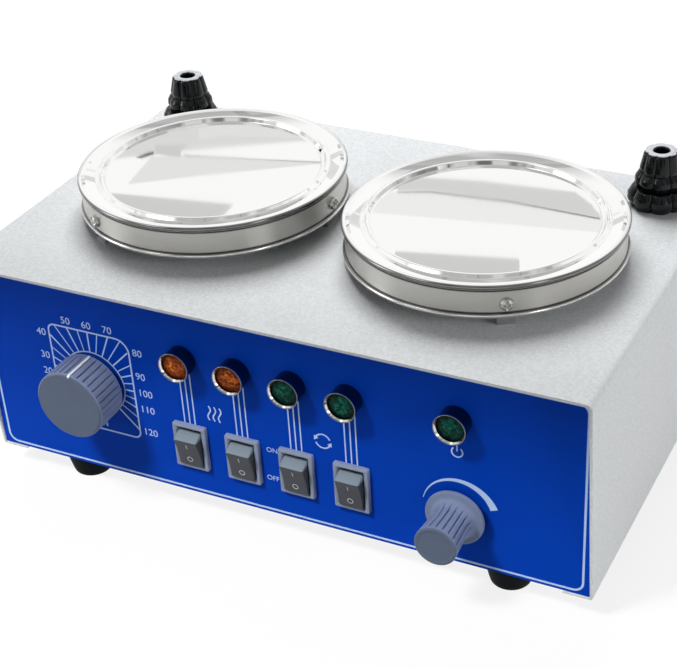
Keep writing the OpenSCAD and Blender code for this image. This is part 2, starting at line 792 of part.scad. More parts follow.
module plate_screws() color("gainsboro") each_bracket() {
    translate([skirt_r, 0, case_top + side_screw_rise]) rotate([0, 90, 0])
        cross_screw(screw_d, side_screw_l, screw_head_d, screw_head_h);
    translate([foot_screw_r, 0, case_top + bracket_t])
        cross_screw(screw_d, bracket_t + sheet + nut_h, screw_head_d, screw_head_h);
    translate([foot_screw_r, 0, cover_under - nut_h]) hex_nut(nut_af, nut_h, screw_d);
}

// Flat disc on the heater's stud
module stack_disc(d, z, t) {
    translate([0, 0, z]) tube(d, stud_d + 2 * hole_fit, t);
}

module mica_heater_left() color("tan") translate([-plate_x, 0, 0]) stack_disc(heater_d, heater_z, heater_t);
module mica_heater_right() color("tan") translate([plate_x, 0, 0]) stack_disc(heater_d, heater_z, heater_t);
module insulation_pads() color("ivory") both_plates() stack_disc(heater_d, pad_z, pad_t);
module heater_clamp_discs() color("silver") both_plates()
    stack_disc(clamp_disc_d, clamp_disc_z, clamp_disc_t);

module heater_nuts() color("silver") both_plates() translate([0, 0, clamp_disc_z - stud_nut_h])
    hex_nut(stud_nut_af, stud_nut_h, stud_d);

// Can motor hung under its plate, with a bearing boss through the plate
module stir_motor() difference() {
    union() {
        translate([0, 0, motor_top - motor_l]) cylinder(d = motor_d, h = motor_l);
        translate([0, 0, motor_top - eps])
            cylinder(d = motor_boss_d, h = motor_plate_t + motor_boss_rise + eps);
        for (s = [-1, 1]) translate([s * motor_tab_pitch / 2, 0, motor_top - motor_l - motor_tab_l / 2])
            cube([motor_tab_w, motor_tab_t, motor_tab_l + eps], center = true);
    }
    translate([0, 0, shaft_bottom - move_gap])
        cylinder(d = shaft_d + 2 * run_fit,
            h = shaft_depth + motor_plate_t + motor_boss_rise + move_gap + past);
    for (s = [-1, 1]) translate([s * motor_screw_pitch / 2, 0, motor_top - screw_bite - move_gap])
        cylinder(d = screw_d + 2 * hole_fit, h = screw_bite + move_gap + past);
}

module stir_motor_left() color("dimgray") translate([-plate_x, 0, 0]) stir_motor();
module stir_motor_right() color("dimgray") translate([plate_x, 0, 0]) stir_motor();

module motor_plates() color("silver") both_plates() difference() {
    translate([-motor_plate_w / 2, -motor_plate_d / 2, motor_top])
        cube([motor_plate_w, motor_plate_d, motor_plate_t]);
    translate([0, 0, motor_top - past]) {
        cylinder(d = motor_boss_d + 2 * hole_fit, h = motor_plate_t + 2 * past);
        for (s = [-1, 1]) translate([s * motor_screw_pitch / 2, 0, 0])
            cylinder(d = screw_d + 2 * hole_fit, h = motor_plate_t + 2 * past);
        spacer_places() cylinder(d = screw_d + 2 * hole_fit, h = motor_plate_t + 2 * past);
    }
}

module motor_spacers() color("gold") both_plates() spacer_places() translate([0, 0, plate_under])
    tube(spacer_d, screw_d + 2 * hole_fit, spacer_l);

module spacer_screws() color("silver") both_plates() spacer_places() {
    translate([0, 0, case_top])
        cross_screw(screw_d, sheet + spacer_l + motor_plate_t + nut_h, screw_head_d, screw_head_h);
    translate([0, 0, motor_top - nut_h]) hex_nut(nut_af, nut_h, screw_d);
}

module motor_screws() color("silver") both_plates() for (s = [-1, 1])
    translate([s * motor_screw_pitch / 2, 0, plate_under])
        cross_screw(screw_d, motor_plate_t + screw_bite, screw_head_d, screw_head_h);

module motor_shaft() translate([0, 0, shaft_bottom]) cylinder(d = shaft_d, h = carrier_top - shaft_bottom);
module motor_shaft_left() color("silver") translate([-plate_x, 0, 0]) motor_shaft();
module motor_shaft_right() color("silver") translate([plate_x, 0, 0]) motor_shaft();

// Bar with round ends, a hub on the shaft and a pocket for each magnet
module magnet_carrier() difference() {
    union() {
        translate([0, 0, carrier_z]) linear_extrude(carrier_t) {
            square([carrier_l - carrier_w, carrier_w], center = true);
            for (s = [-1, 1]) translate([s * (carrier_l - carrier_w) / 2, 0]) circle(d = carrier_w);
        }
        translate([0, 0, hub_z]) cylinder(d = hub_d, h = hub_l + eps);
    }
    translate([0, 0, hub_z - past]) cylinder(d = shaft_d + 2 * eps, h = carrier_top - hub_z + 2 * past);
    for (s = [-1, 1]) translate([s * magnet_pitch / 2, 0, carrier_top - magnet_t])
        cylinder(d = magnet_d + 2 * hole_fit, h = magnet_t + past);
}

module magnet_carrier_left() color("slategray") translate([-plate_x, 0, 0]) magnet_carrier();
module magnet_carrier_right() color("slategray") translate([plate_x, 0, 0]) magnet_carrier();

module magnet_pair() for (s = [-1, 1]) translate([s * magnet_pitch / 2, 0, carrier_top - magnet_t])
    cylinder(d = magnet_d, h = magnet_t);
module magnets_left() color("darkslategray") translate([-plate_x, 0, 0]) magnet_pair();
module magnets_right() color("darkslategray") translate([plate_x, 0, 0]) magnet_pair();

module timer_body() color("ivory") on_panel([-end_x, timer_drop]) difference() {
    union() {
        translate([-timer_size / 2, -timer_size / 2, -wall_in - timer_depth])
            cube([timer_size, timer_size, timer_depth]);
        translate([0, 0, -wall_in - eps]) cylinder(d = timer_boss_d, h = wall_in + eps);
    }
    translate([0, 0, -wall_in - timer_shaft_depth - move_gap])
        cylinder(d = timer_shaft_d + 2 * run_fit, h = wall_in + timer_shaft_depth + move_gap + past);
    for (s = [-1, 1]) translate([s * timer_screw_pitch / 2, 0, -wall_in - screw_bite - move_gap])
        cylinder(d = screw_d + 2 * hole_fit, h = screw_bite + move_gap + past);
}

module timer_screws() color("silver") on_panel([-end_x, timer_drop]) for (s = [-1, 1])
    translate([s * timer_screw_pitch / 2, 0, 0])
        cross_screw(screw_d, wall_in + screw_bite, screw_head_d, screw_head_h);

module timer_shaft() color("silver") on_panel([-end_x, timer_drop])
    translate([0, 0, -wall_in - timer_shaft_depth])
        cylinder(d = timer_shaft_d, h = wall_in + timer_shaft_depth + knob_gap + knob_grip);

// Fluted knob with a plain front, a pointer rib and a blind hole for its shaft
module timer_knob() color("slategray") on_panel([-end_x, timer_drop])
    translate([0, 0, knob_gap]) difference() {
        union() {
            linear_extrude(timer_knob_l - timer_cap_t) difference() {
                circle(d = timer_knob_d);
                for (i = [0:timer_flutes - 1]) rotate(i * 360 / timer_flutes) translate([timer_knob_d / 2, 0])
                    circle(d = flute_d, $fn = 16);
            }
            translate([0, 0, timer_knob_l - timer_cap_t - eps])
                cylinder(d = timer_knob_d, h = timer_cap_t - knob_bevel + eps);
            translate([0, 0, timer_knob_l - knob_bevel - eps])
                cylinder(d1 = timer_knob_d, d2 = timer_knob_d - 2 * knob_bevel, h = knob_bevel + eps);
            rotate(-timer_pointer_turn) translate([-flute_d / 2, timer_knob_d / 2 - flute_d, 0])
                cube([flute_d, flute_d, timer_knob_l - timer_cap_t]);
        }
        translate([0, 0, -past]) cylinder(d = timer_shaft_d + 2 * eps, h = knob_grip + past);
    }

module speed_control() color("dimgray") on_panel([end_x, speed_drop]) difference() {
    union() {
        translate([0, 0, -wall_in - pot_depth]) cylinder(d = pot_d, h = pot_depth);
        translate([0, 0, -wall_in - eps]) cylinder(d = bush_d, h = wall_in + bush_nut_h + eps);
        for (i = [-1:1]) translate([i * pot_tab_pitch - pot_tab_w / 2, 0, -wall_in - pot_shaft_depth])
            translate([0, -pot_d / 2 - pot_tab_l, 0])
                cube([pot_tab_w, pot_d / 2 + pot_tab_l - pot_shaft_d, pot_tab_t]);
    }
    translate([0, 0, -wall_in - pot_shaft_depth - move_gap])
        cylinder(d = pot_shaft_d + 2 * run_fit,
            h = wall_in + pot_shaft_depth + move_gap + bush_nut_h + past);
}

module speed_control_nut() color("silver") on_panel([end_x, speed_drop])
    hex_nut(bush_nut_af, bush_nut_h, bush_d);

module speed_shaft() color("silver") on_panel([end_x, speed_drop])
    translate([0, 0, -wall_in - pot_shaft_depth])
        cylinder(d = pot_shaft_d, h = wall_in + pot_shaft_depth + knob_gap + knob_grip);

// Fluted knob with a wide skirt that sweeps into a narrow waist
module speed_knob() color("slategray") on_panel([end_x, speed_drop]) translate([0, 0, knob_gap]) {
    sweep = (speed_skirt_d - speed_waist_d) / 2;
    difference() {
        rotate_extrude() {
            square([speed_skirt_d / 2, speed_skirt_t]);
            difference() {
                square([speed_skirt_d / 2, speed_skirt_t + sweep]);
                translate([speed_skirt_d / 2, speed_skirt_t + sweep]) circle(sweep);
            }
            polygon([
                [0, 0], [speed_waist_d / 2, speed_skirt_t + sweep],
                [speed_face_d / 2, speed_knob_l - knob_bevel],
                [speed_face_d / 2 - knob_bevel, speed_knob_l], [0, speed_knob_l]]);
        }
        for (i = [0:speed_flutes - 1]) rotate(i * 360 / speed_flutes)
            translate([speed_waist_d / 2, 0, speed_skirt_t + sweep / 2])
                cylinder(d = flute_d, h = speed_knob_l - speed_skirt_t - sweep / 2 - timer_cap_t, $fn = 16);
        translate([0, 0, -past]) cylinder(d = pot_shaft_d + 2 * eps, h = knob_grip + past);
    }
}

// Rocker switch without its rocker: bezel, hollow body with pivot holes, contact blades
module switch_housing(i) on_panel(key_places[i]) difference() {
    union() {
        translate([-key_w / 2, -key_h / 2, 0]) cube([key_w, key_h, key_bezel]);
        translate([-key_body_w / 2, -key_body_h / 2, -key_depth])
            cube([key_body_w, key_body_h, key_depth + eps]);
        for (s = [-1:1]) translate([-blade_w / 2, s * blade_pitch - blade_t / 2, -key_depth - blade_l])
            cube([blade_w, blade_t, blade_l + eps]);
    }
    translate([-key_open_w / 2, -key_open_h / 2, -key_floor])
        cube([key_open_w, key_open_h, key_floor + key_bezel + past]);
    translate([0, 0, -pivot_in]) rotate([0, 90, 0])
        cylinder(d = pin_d + 2 * run_fit, h = key_body_w + past, center = true);
}

module switch_heat_left() color("gray") switch_housing(0);
module switch_heat_right() color("gray") switch_housing(1);
module switch_stir_left() color("gray") switch_housing(2);
module switch_stir_right() color("gray") switch_housing(3);

// Rocker at its off position: the upper tip stands out, the lower tip is pressed in
module switch_rocker(i) on_panel(key_places[i])
    translate([0, 0, -pivot_in]) rotate([rocker_throw / 2, 0, 0]) {
        rotate([90, 0, 90]) linear_extrude(rocker_w, center = true) difference() {
            polygon([[-tip_span / 2, tip_rise], [-shoulder_v, shoulder_rise], [-keel_v, -keel_drop],
                [keel_v, -keel_drop], [shoulder_v, shoulder_rise], [tip_span / 2, tip_rise]]);
            translate([0, tip_rise - finger_hollow + hollow_r]) circle(hollow_r);
        }
        rotate([0, 90, 0]) cylinder(d = pin_d, h = key_body_w - move_gap, center = true);
    }

module rocker_heat_left() color("darkgray") switch_rocker(0);
module rocker_heat_right() color("darkgray") switch_rocker(1);
module rocker_stir_left() color("darkgray") switch_rocker(2);
module rocker_stir_right() color("darkgray") switch_rocker(3);

module lamp_bezels() color("silver") for (p = lamp_places) on_panel(p) rotate_extrude() difference() {
    union() {
        square([lamp_d / 2 - lamp_step, lamp_rise]);
        translate([0, lamp_rise - lamp_lip]) square([lamp_d / 2, lamp_lip]);
        translate([0, -barrel_l]) square([barrel_d / 2, barrel_l + eps]);
    }
    translate([0, lens_floor]) square([lens_d / 2 + hole_fit, socket_depth + past]);
}

// Domed lens seated on the floor of its socket
module lens() rotate_extrude() intersection() {
    translate([0, lens_floor]) square([lens_d / 2, lens_top - lens_floor]);
    translate([0, lens_top - dome_r]) circle(dome_r);
}

module orange_lenses() color("darkorange") for (p = orange_places) on_panel(p) lens();
module green_lenses() color("seagreen") for (p = green_places) on_panel(p) lens();

module lamp_nuts() color("silver") for (p = lamp_places) on_panel(p)
    translate([0, 0, -wall_in - lamp_nut_h])
        hex_nut(lamp_nut_af, lamp_nut_h, barrel_d);

// Round outline with grip lobes
module lobed(d) {
    circle(d = d - lobe_d / 2);
    for (i = [0:clamp_lobes - 1]) rotate((i + 0.5) * 360 / clamp_lobes) translate([d / 2 - lobe_d / 2, 0])
        circle(d = lobe_d);
}

// Fixed half of a rod clamp: lobed base, threaded spigot, stem through the cover, blind rod hole
module rod_clamp() difference() {
    union() {
        translate([0, 0, case_top]) linear_extrude(clamp_base_h - lobe_drop) lobed(clamp_base_d);
        translate([0, 0, case_top]) cylinder(d = clamp_base_d - lobe_d / 2, h = clamp_base_h);
        translate([0, 0, stem_z]) cylinder(d = spigot_d, h = spigot_top - stem_z);
    }
    translate([0, 0, stem_z + stem_floor]) cylinder(r = rod_bore_r, h = spigot_top - stem_z);
}

module rod_clamp_left() color("#1c1c1e") translate([-clamp_x, clamp_y, 0]) rod_clamp();
module rod_clamp_right() color("#1c1c1e") translate([clamp_x, clamp_y, 0]) rod_clamp();

// Turning nut: lobed grip and a cone, over the spigot
module rod_clamp_nut() difference() {
    union() {
        translate([0, 0, nut_foot]) linear_extrude(clamp_grip_h - lobe_drop) lobed(clamp_grip_d);
        translate([0, 0, nut_foot]) cylinder(d = clamp_grip_d - lobe_d / 2, h = clamp_grip_h);
        translate([0, 0, nut_cone - eps])
            cylinder(d1 = clamp_cone_d, d2 = clamp_top_d, h = nut_top - nut_cone + eps);
    }
    translate([0, 0, nut_foot - past])
        cylinder(d = spigot_d + 2 * run_fit, h = spigot_top + move_gap - nut_foot + past);
    translate([0, 0, nut_foot]) cylinder(r = rod_bore_r, h = nut_top - nut_foot + past);
}

module rod_clamp_nut_left() color("#1c1c1e") translate([-clamp_x, clamp_y, 0]) rod_clamp_nut();
module rod_clamp_nut_right() color("#1c1c1e") translate([clamp_x, clamp_y, 0]) rod_clamp_nut();

module rod_clamp_lock_nuts() color("silver") for (s = [-1, 1])
    translate([s * clamp_x, clamp_y, cover_under - lock_nut_h]) hex_nut(lock_nut_af, lock_nut_h, spigot_d);

module fuse_holder() color("#1c1c1e") on_rear(fuse_x, fuse_z) difference() {
    union() {
        translate([0, 0, -fuse_body_l]) cylinder(d = fuse_body_d, h = fuse_body_l + eps);
        cylinder(d = fuse_flange_d, h = fuse_flange_t);
        translate([0, 0, -sheet - fuse_nut_t]) cylinder(d = fuse_flange_d, h = fuse_nut_t);
    }
    translate([0, 0, fuse_cap_y - fuse_stem_l - move_gap])
        cylinder(d = fuse_stem_d + 2 * run_fit, h = fuse_stem_l + past);
}

// Bayonet cap with a fluted head, a stem in the holder and a socket for the fuse
module fuse_cap() color("#1c1c1e") on_rear(fuse_x, fuse_z) translate([0, 0, fuse_cap_y]) difference() {
    union() {
        cylinder(d = fuse_cap_d, h = fuse_cap_l);
        translate([0, 0, -fuse_stem_l]) cylinder(d = fuse_stem_d, h = fuse_stem_l + eps);
    }
    translate([0, 0, fuse_cap_l]) cube([coin_slot_l, coin_slot_w, 2 * coin_slot_depth], center = true);
    translate([0, 0, -fuse_stem_l - past]) cylinder(d = fuse_d + 2 * hole_fit, h = fuse_l + 2 * past);
}

module fuse() color("lightcyan") on_rear(fuse_x, fuse_z) translate([0, 0, fuse_cap_y - fuse_stem_l + past])
    cylinder(d = fuse_d, h = fuse_l);

// Grommet with a groove that grips the edge of its hole
module cord_gland() color("#1c1c1e") on_rear(-gland_x, gland_z) rotate_extrude() difference() {
    union() {
        translate([0, -sheet - gland_flange_t]) square([gland_body_d / 2, sheet + 2 * gland_flange_t]);
        square([gland_flange_d / 2, gland_flange_t]);
        translate([0, -sheet - gland_flange_t]) square([gland_flange_d / 2, gland_flange_t]);
    }
    translate([0, -sheet - gland_flange_t - past])
        square([gland_bore_d / 2, sheet + 2 * gland_flange_t + 2 * past]);
}

module transformer() color("dimgray") translate([0, core_y, tray_top]) difference() {
    union() {
        translate([-core_foot_w / 2, -core_d / 2, 0]) cube([core_foot_w, core_d, core_strap_t]);
        translate([-core_w / 2, -core_d / 2, 0]) cube([core_w, core_d, core_h]);
        translate([-coil_w / 2, -coil_d / 2, (core_h - coil_h) / 2]) cube([coil_w, coil_d, coil_h]);
    }
    for (s = [-1, 1]) translate([s * core_hole_x, 0, -past])
        cylinder(d = screw_d + 2 * hole_fit, h = core_strap_t + 2 * past);
}

module control_board() color("darkgreen") translate([board_x, 0, tray_top + board_rise]) {
    difference() {
        translate([-board_w / 2, -board_d / 2, 0]) cube([board_w, board_d, board_t]);
        for (sx = [-1, 1], sy = [-1, 1]) translate([sx * board_post_x, sy * board_post_y, -past])
            cylinder(d = board_tip_d + 2 * hole_fit, h = board_t + 2 * past);
    }
    translate([-sink_w / 2, -capacitor_pitch / 2 - sink_t / 2, board_t - eps])
        cube([sink_w, sink_t, sink_h]);
    for (s = [-1, 1]) translate([s * capacitor_pitch / 2, capacitor_pitch / 2, board_t - eps])
        cylinder(d = capacitor_d, h = capacitor_h);
}

module board_posts() color("white") for (sx = [-1, 1], sy = [-1, 1])
    translate([board_x + sx * board_post_x, sy * board_post_y, tray_top]) difference() {
        union() {
            cylinder(d = board_post_d, h = board_rise);
            cylinder(d = board_tip_d, h = board_rise + board_t + eps);
            translate([0, 0, board_rise + board_t])
                cylinder(d1 = board_tip_d + 2 * board_barb, d2 = board_tip_d - 2 * board_barb,
                    h = board_barb_l);
        }
        translate([0, 0, -past]) cylinder(d = screw_d + 2 * hole_fit, h = base_bite + move_gap + past);
    }

module terminal_block() color("white") translate([-block_x, 0, tray_top]) difference() {
    translate([-block_w / 2, -block_d / 2, 0]) cube([block_w, block_d, block_h]);
    for (i = [0:block_ways - 1], s = [-1, 1])
        translate([(i - (block_ways - 1) / 2) * block_pitch, s * block_d / 4, block_h - block_well])
            cylinder(d = block_well_d, h = block_well + past);
    for (s = [-1, 1]) translate([s * block_hole_x, 0, -past])
        cylinder(d = screw_d + 2 * hole_fit, h = base_bite + move_gap + past);
}

top_cover();
chassis();
front_panel();
rubber_feet();
foot_screws();
bottom_screws();
heating_plate_left();
heating_plate_right();
plate_brackets();
plate_screws();
mica_heater_left();
mica_heater_right();
insulation_pads();
heater_clamp_discs();
heater_nuts();
stir_motor_left();
stir_motor_right();
motor_plates();
motor_spacers();
spacer_screws();
motor_screws();
timer_body();
timer_screws();
speed_control();
speed_control_nut();
switch_heat_left();
switch_heat_right();
switch_stir_left();
switch_stir_right();
lamp_bezels();
orange_lenses();
green_lenses();
lamp_nuts();
rod_clamp_left();
rod_clamp_right();
rod_clamp_lock_nuts();
fuse_holder();
cord_gland();
transformer();
control_board();
board_posts();
terminal_block();
motor_shaft_left();
magnet_carrier_left();
magnets_left();
motor_shaft_right();
magnet_carrier_right();
magnets_right();
timer_shaft();
timer_knob();
speed_shaft();
speed_knob();
rocker_heat_left();
rocker_heat_right();
rocker_stir_left();
rocker_stir_right();
rod_clamp_nut_left();
rod_clamp_nut_right();
fuse_cap();
fuse();
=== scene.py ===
import math

import bmesh
import bpy
import numpy as np
from mathutils import Euler, Matrix, Vector


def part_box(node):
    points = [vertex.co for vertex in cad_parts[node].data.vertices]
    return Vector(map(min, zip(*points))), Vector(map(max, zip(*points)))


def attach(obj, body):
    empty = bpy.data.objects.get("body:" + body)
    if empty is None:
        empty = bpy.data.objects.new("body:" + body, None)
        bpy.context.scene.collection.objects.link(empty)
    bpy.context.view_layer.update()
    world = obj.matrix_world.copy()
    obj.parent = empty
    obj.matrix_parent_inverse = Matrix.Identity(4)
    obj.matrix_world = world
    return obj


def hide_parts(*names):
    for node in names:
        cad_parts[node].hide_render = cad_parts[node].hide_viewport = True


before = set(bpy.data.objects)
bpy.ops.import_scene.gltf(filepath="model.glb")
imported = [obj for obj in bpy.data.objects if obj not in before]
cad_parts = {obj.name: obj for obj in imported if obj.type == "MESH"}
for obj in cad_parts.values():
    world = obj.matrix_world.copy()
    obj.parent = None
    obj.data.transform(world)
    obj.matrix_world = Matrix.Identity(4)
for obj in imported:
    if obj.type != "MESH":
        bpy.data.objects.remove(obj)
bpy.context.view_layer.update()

# Sizes in millimetres, from the CAD nodes where a node has them
MM = 0.001


def span(node):
    """Lowest and highest corner of a CAD node, in millimetres."""
    return tuple(np.array(corner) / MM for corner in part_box(node))


def box_middle(node):
    """Middle of a CAD node's box, in millimetres."""
    low, high = span(node)
    return (low + high) / 2


COVER_LO, COVER_HI = span("top_cover")
PANEL_LO = span("front_panel")[0]
REAR = span("chassis")[1][1]
FRONT = PANEL_LO[1]
CASE_TOP = COVER_HI[2]
GROUND_GAP = COVER_LO[2]
SHEET = 1.2
FOLD_R = 2.5
FLANGE_W = 12
PAINT_EDGE = 0.5

PLATE_LO, PLATE_HI = span("heating_plate_right")
PLATE_X, PLATE_R = box_middle("heating_plate_right")[0], (PLATE_HI[0] - PLATE_LO[0]) / 2
RIM_Z = PLATE_HI[2]
FLOOR_DEPTH, FLOOR_R = 2.0, 45.8
RIM_BEAD, HEM_BEAD = 1.7, 1.5
SKIRT_R = PLATE_R - 1.0
SKIRT_H = 13.7
HEM_TOP = SKIRT_H - HEM_BEAD
PLATE_T = 0.8
BRACKET_TURNS = (0, 120, 240)
BRACKET_T, BRACKET_SCREW_R = 1.2, 47.8
SIDE_SCREW_Z = CASE_TOP + 9.6

TIMER_X, TIMER_Z = box_middle("timer_knob")[[0, 2]]
SPEED_X, SPEED_Z = box_middle("speed_knob")[[0, 2]]
TIMER_FACE, SPEED_FACE = span("timer_knob")[0][1], span("speed_knob")[0][1]
KNOB_GAP = FRONT - span("timer_knob")[1][1]
POINTER_TURN = 8

SWITCHES = ("heat_left", "heat_right", "stir_left", "stir_right")
COLUMNS = [box_middle("rocker_" + s)[0] for s in SWITCHES]
KEY_Z = CASE_TOP - 68.5
KEY_W, KEY_H, KEY_BEZEL = 15, 21, 2
KEY_OPEN_W, KEY_OPEN_H = 11, 17.6
PIVOT_IN = 2.6
ROCKER_W = 10.4
ROCKER_TILT = 13
ROCKER_TIP_Z = KEY_Z + 5.1

LAMP_Z = CASE_TOP - 27.4
LAMP_RISE, LAMP_D, LENS_R = 7.2, 13, 5.7
POWER_Z = CASE_TOP - 25.7
POWER_SIGN_Z = POWER_Z - 14.5
LAMPS = [(x, LAMP_Z) for x in COLUMNS] + [(SPEED_X, POWER_Z)]

CLAMP_X, CLAMP_Y = 111, 64.5
NUT_FOOT, CLAMP_TOP = (corner[2] for corner in span("rod_clamp_nut_left"))
CLAMP_LOBES = 8
ROD_BORE_R, STEM_R, THREAD_R = 3.05, 5, 5.05

FEET = [(sx * 97, sy * 64) for sx in (-1, 1) for sy in (-1, 1)]
FOOT_H = PANEL_LO[2]
FUSE_X, FUSE_Z = 95, 62
GLAND_X, GLAND_Z = -95, 36
PRINT_T = 0.05
INK_W = 0.6


# Numpy surfaces: a grid of points, a turned profile, a run of rings, a carried line

def circle(angle):
    """Points at distance 1 round the origin: (cos, sin) of each angle."""
    return np.stack([np.cos(angle), np.sin(angle)], -1)


def grid(points, ring=True, loop=False):
    """Corners and four-sided faces of an n by m grid of points; ring joins the last column to the
    first one, and loop the last row to the first."""
    n, m = points.shape[:2]
    i, j = np.meshgrid(np.arange(n if loop else n - 1), np.arange(m if ring else m - 1), indexing="ij")
    below, right = (i + 1) % n, (j + 1) % m
    faces = np.stack([i * m + j, i * m + right, below * m + right, below * m + j], -1)
    return points.reshape(-1, 3), faces.reshape(-1, 4)


def rounded(corners, closed=False, steps=6):
    """A line through corners (a, b, radius): each corner is an arc of that radius, tangent to the two
    sides that meet there, and a corner of radius 0 stays sharp."""
    c = np.array([(*k, 0)[:3] for k in corners], float)
    line = []
    for k, (a, b, r) in enumerate(c):
        p = np.array([a, b])
        if r == 0 or (not closed and k in (0, len(c) - 1)):
            line.append(p[None])
            continue
        u, v = c[k - 1, :2] - p, c[(k + 1) % len(c), :2] - p
        u, v = u / np.hypot(*u), v / np.hypot(*v)
        half = math.acos(np.clip(u @ v, -1, 1)) / 2
        middle = p + (u + v) / np.hypot(*(u + v)) * r / math.sin(half)
        first, last = p + u * r / math.tan(half) - middle, p + v * r / math.tan(half) - middle
        start = math.atan2(first[1], first[0])
        turn = (math.atan2(last[1], last[0]) - start + math.pi) % (2 * math.pi) - math.pi
        angle = start + turn * np.linspace(0, 1, steps)
        line.append(middle + r * circle(angle))
    return np.concatenate(line)


def turned(profile, n, waves=None):
    """A turned shape: each (radius, height) of the profile goes round the z axis in n steps; waves takes
    the radius, the height and the angle and gives the change of radius there."""
    angle = np.arange(n) * 2 * np.pi / n
    r, h = (np.repeat(k[:, None], n, 1) for k in np.asarray(profile, float).T)
    if waves is not None:
        r = r + waves(r, h, angle[None])
    return np.stack([r * np.cos(angle), r * np.sin(angle), h], -1)


def corner_path(half_w, half_h, radius, steps=6):
    """A rectangle with round corners, anticlockwise from its right side: at angle a the point is the
    corner's centre plus the radius along (cos a, sin a). One radius, or four from the upper right on."""
    radii = np.broadcast_to(radius, 4)
    quarter = np.linspace(0, np.pi / 2, steps)
    signs = ((1, 1), (-1, 1), (-1, -1), (1, -1))
    return np.concatenate([
        np.stack([sx * (half_w - r) + r * np.cos(quarter + k * np.pi / 2),
                  sy * (half_h - r) + r * np.sin(quarter + k * np.pi / 2)], -1)
        for k, ((sx, sy), r) in enumerate(zip(signs, radii))])


def ringed(rings, steps=6):
    """A skin through rounded rectangles (half width, half height, corner radius, height); a ring of no
    size closes the skin to a point."""
    return np.stack([np.column_stack([corner_path(w, h, r, steps), np.full(4 * steps, z)])
                     for w, h, r, z in rings])


def capped(rows):
    """Rows of points round a tube, with both its ends drawn together to the middle of the end row."""
    ends = [np.repeat(rows[k].mean(0)[None], rows.shape[1], 0)[None] for k in (0, -1)]
    return np.concatenate([ends[0], rows, ends[1]])


def line_of_print(path, width, closed=False):
    """A flat printed line: the path moved half its width to either side along its normal, PRINT_T thick,
    with its two ends drawn together."""
    path = np.asarray(path, float)
    along = np.roll(path, -1, 0) - np.roll(path, 1, 0) if closed else np.gradient(path, axis=0)
    normal = np.stack([-along[:, 1], along[:, 0]], -1) / np.hypot(*along.T)[:, None]
    side = normal * np.broadcast_to(width, len(path))[:, None] / 2
    low, high = np.zeros((len(path), 1)), np.full((len(path), 1), PRINT_T)
    rows = np.stack([np.hstack([path - side, low]), np.hstack([path + side, low]),
                     np.hstack([path + side, high]), np.hstack([path - side, high])], 1)
    return rows if closed else capped(rows)


def on_panel(points, x, z, loop=False):
    """Skin of points (right, up, out) carried to place (x, z) on the panel's face."""
    p = np.asarray(points)
    return grid(np.stack([x + p[..., 0], FRONT - p[..., 2], z + p[..., 1]], -1), loop=loop)


def inked(path, width, x, z, closed=False):
    """Skin of a printed line at place (x, z) on the panel."""
    return on_panel(line_of_print(path, width, closed), x, z, closed)


def on_rear(points, x, z, loop=False):
    """Skin of points (right, up, out), as seen from behind, carried to place (x, z) on the rear wall."""
    p = np.asarray(points)
    return grid(np.stack([x - p[..., 0], REAR + p[..., 2], z + p[..., 1]], -1), loop=loop)


def piece(name, skins, finish, slot, body="case", stands_for=(), crease=38):
    """One object from several (corners, faces) skins in millimetres. Doubled corners are merged, so seams
    and poles close, normals point out, and edges sharper than the crease angle stay crisp."""
    corners = np.concatenate([c for c, f in skins]) * MM
    first = np.cumsum([0] + [len(c) for c, f in skins[:-1]])
    faces = np.concatenate([f + k for (c, f), k in zip(skins, first)])
    mesh = bpy.data.meshes.new(name)
    mesh.from_pydata(corners.tolist(), [], faces.tolist())
    tidy = bmesh.new()
    tidy.from_mesh(mesh)
    bmesh.ops.remove_doubles(tidy, verts=tidy.verts, dist=2e-6)
    bmesh.ops.recalc_face_normals(tidy, faces=tidy.faces)
    tidy.to_mesh(mesh)
    tidy.free()
    return placed(name, mesh, finish, body, stands_for, crease)


def linked(name, data):
    """A new object with that data, in the scene."""
    made = bpy.data.objects.new(name, data)
    bpy.context.scene.collection.objects.link(made)
    return made


def placed(name, mesh, finish, body="case", stands_for=(), crease=38):
    """Puts a finished mesh into the scene with its material, ties it to a body, and hides the CAD nodes
    that it stands for."""
    mesh.polygons.foreach_set("use_smooth", np.ones(len(mesh.polygons), bool))
    mesh.set_sharp_from_angle(angle=math.radians(crease))
    mesh.materials.append(finish)
    made = linked(name, mesh)
    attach(made, body)
    if stands_for:
        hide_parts(*stands_for)
    return made


# Shader wiring

WHITE = (1, 1, 1)


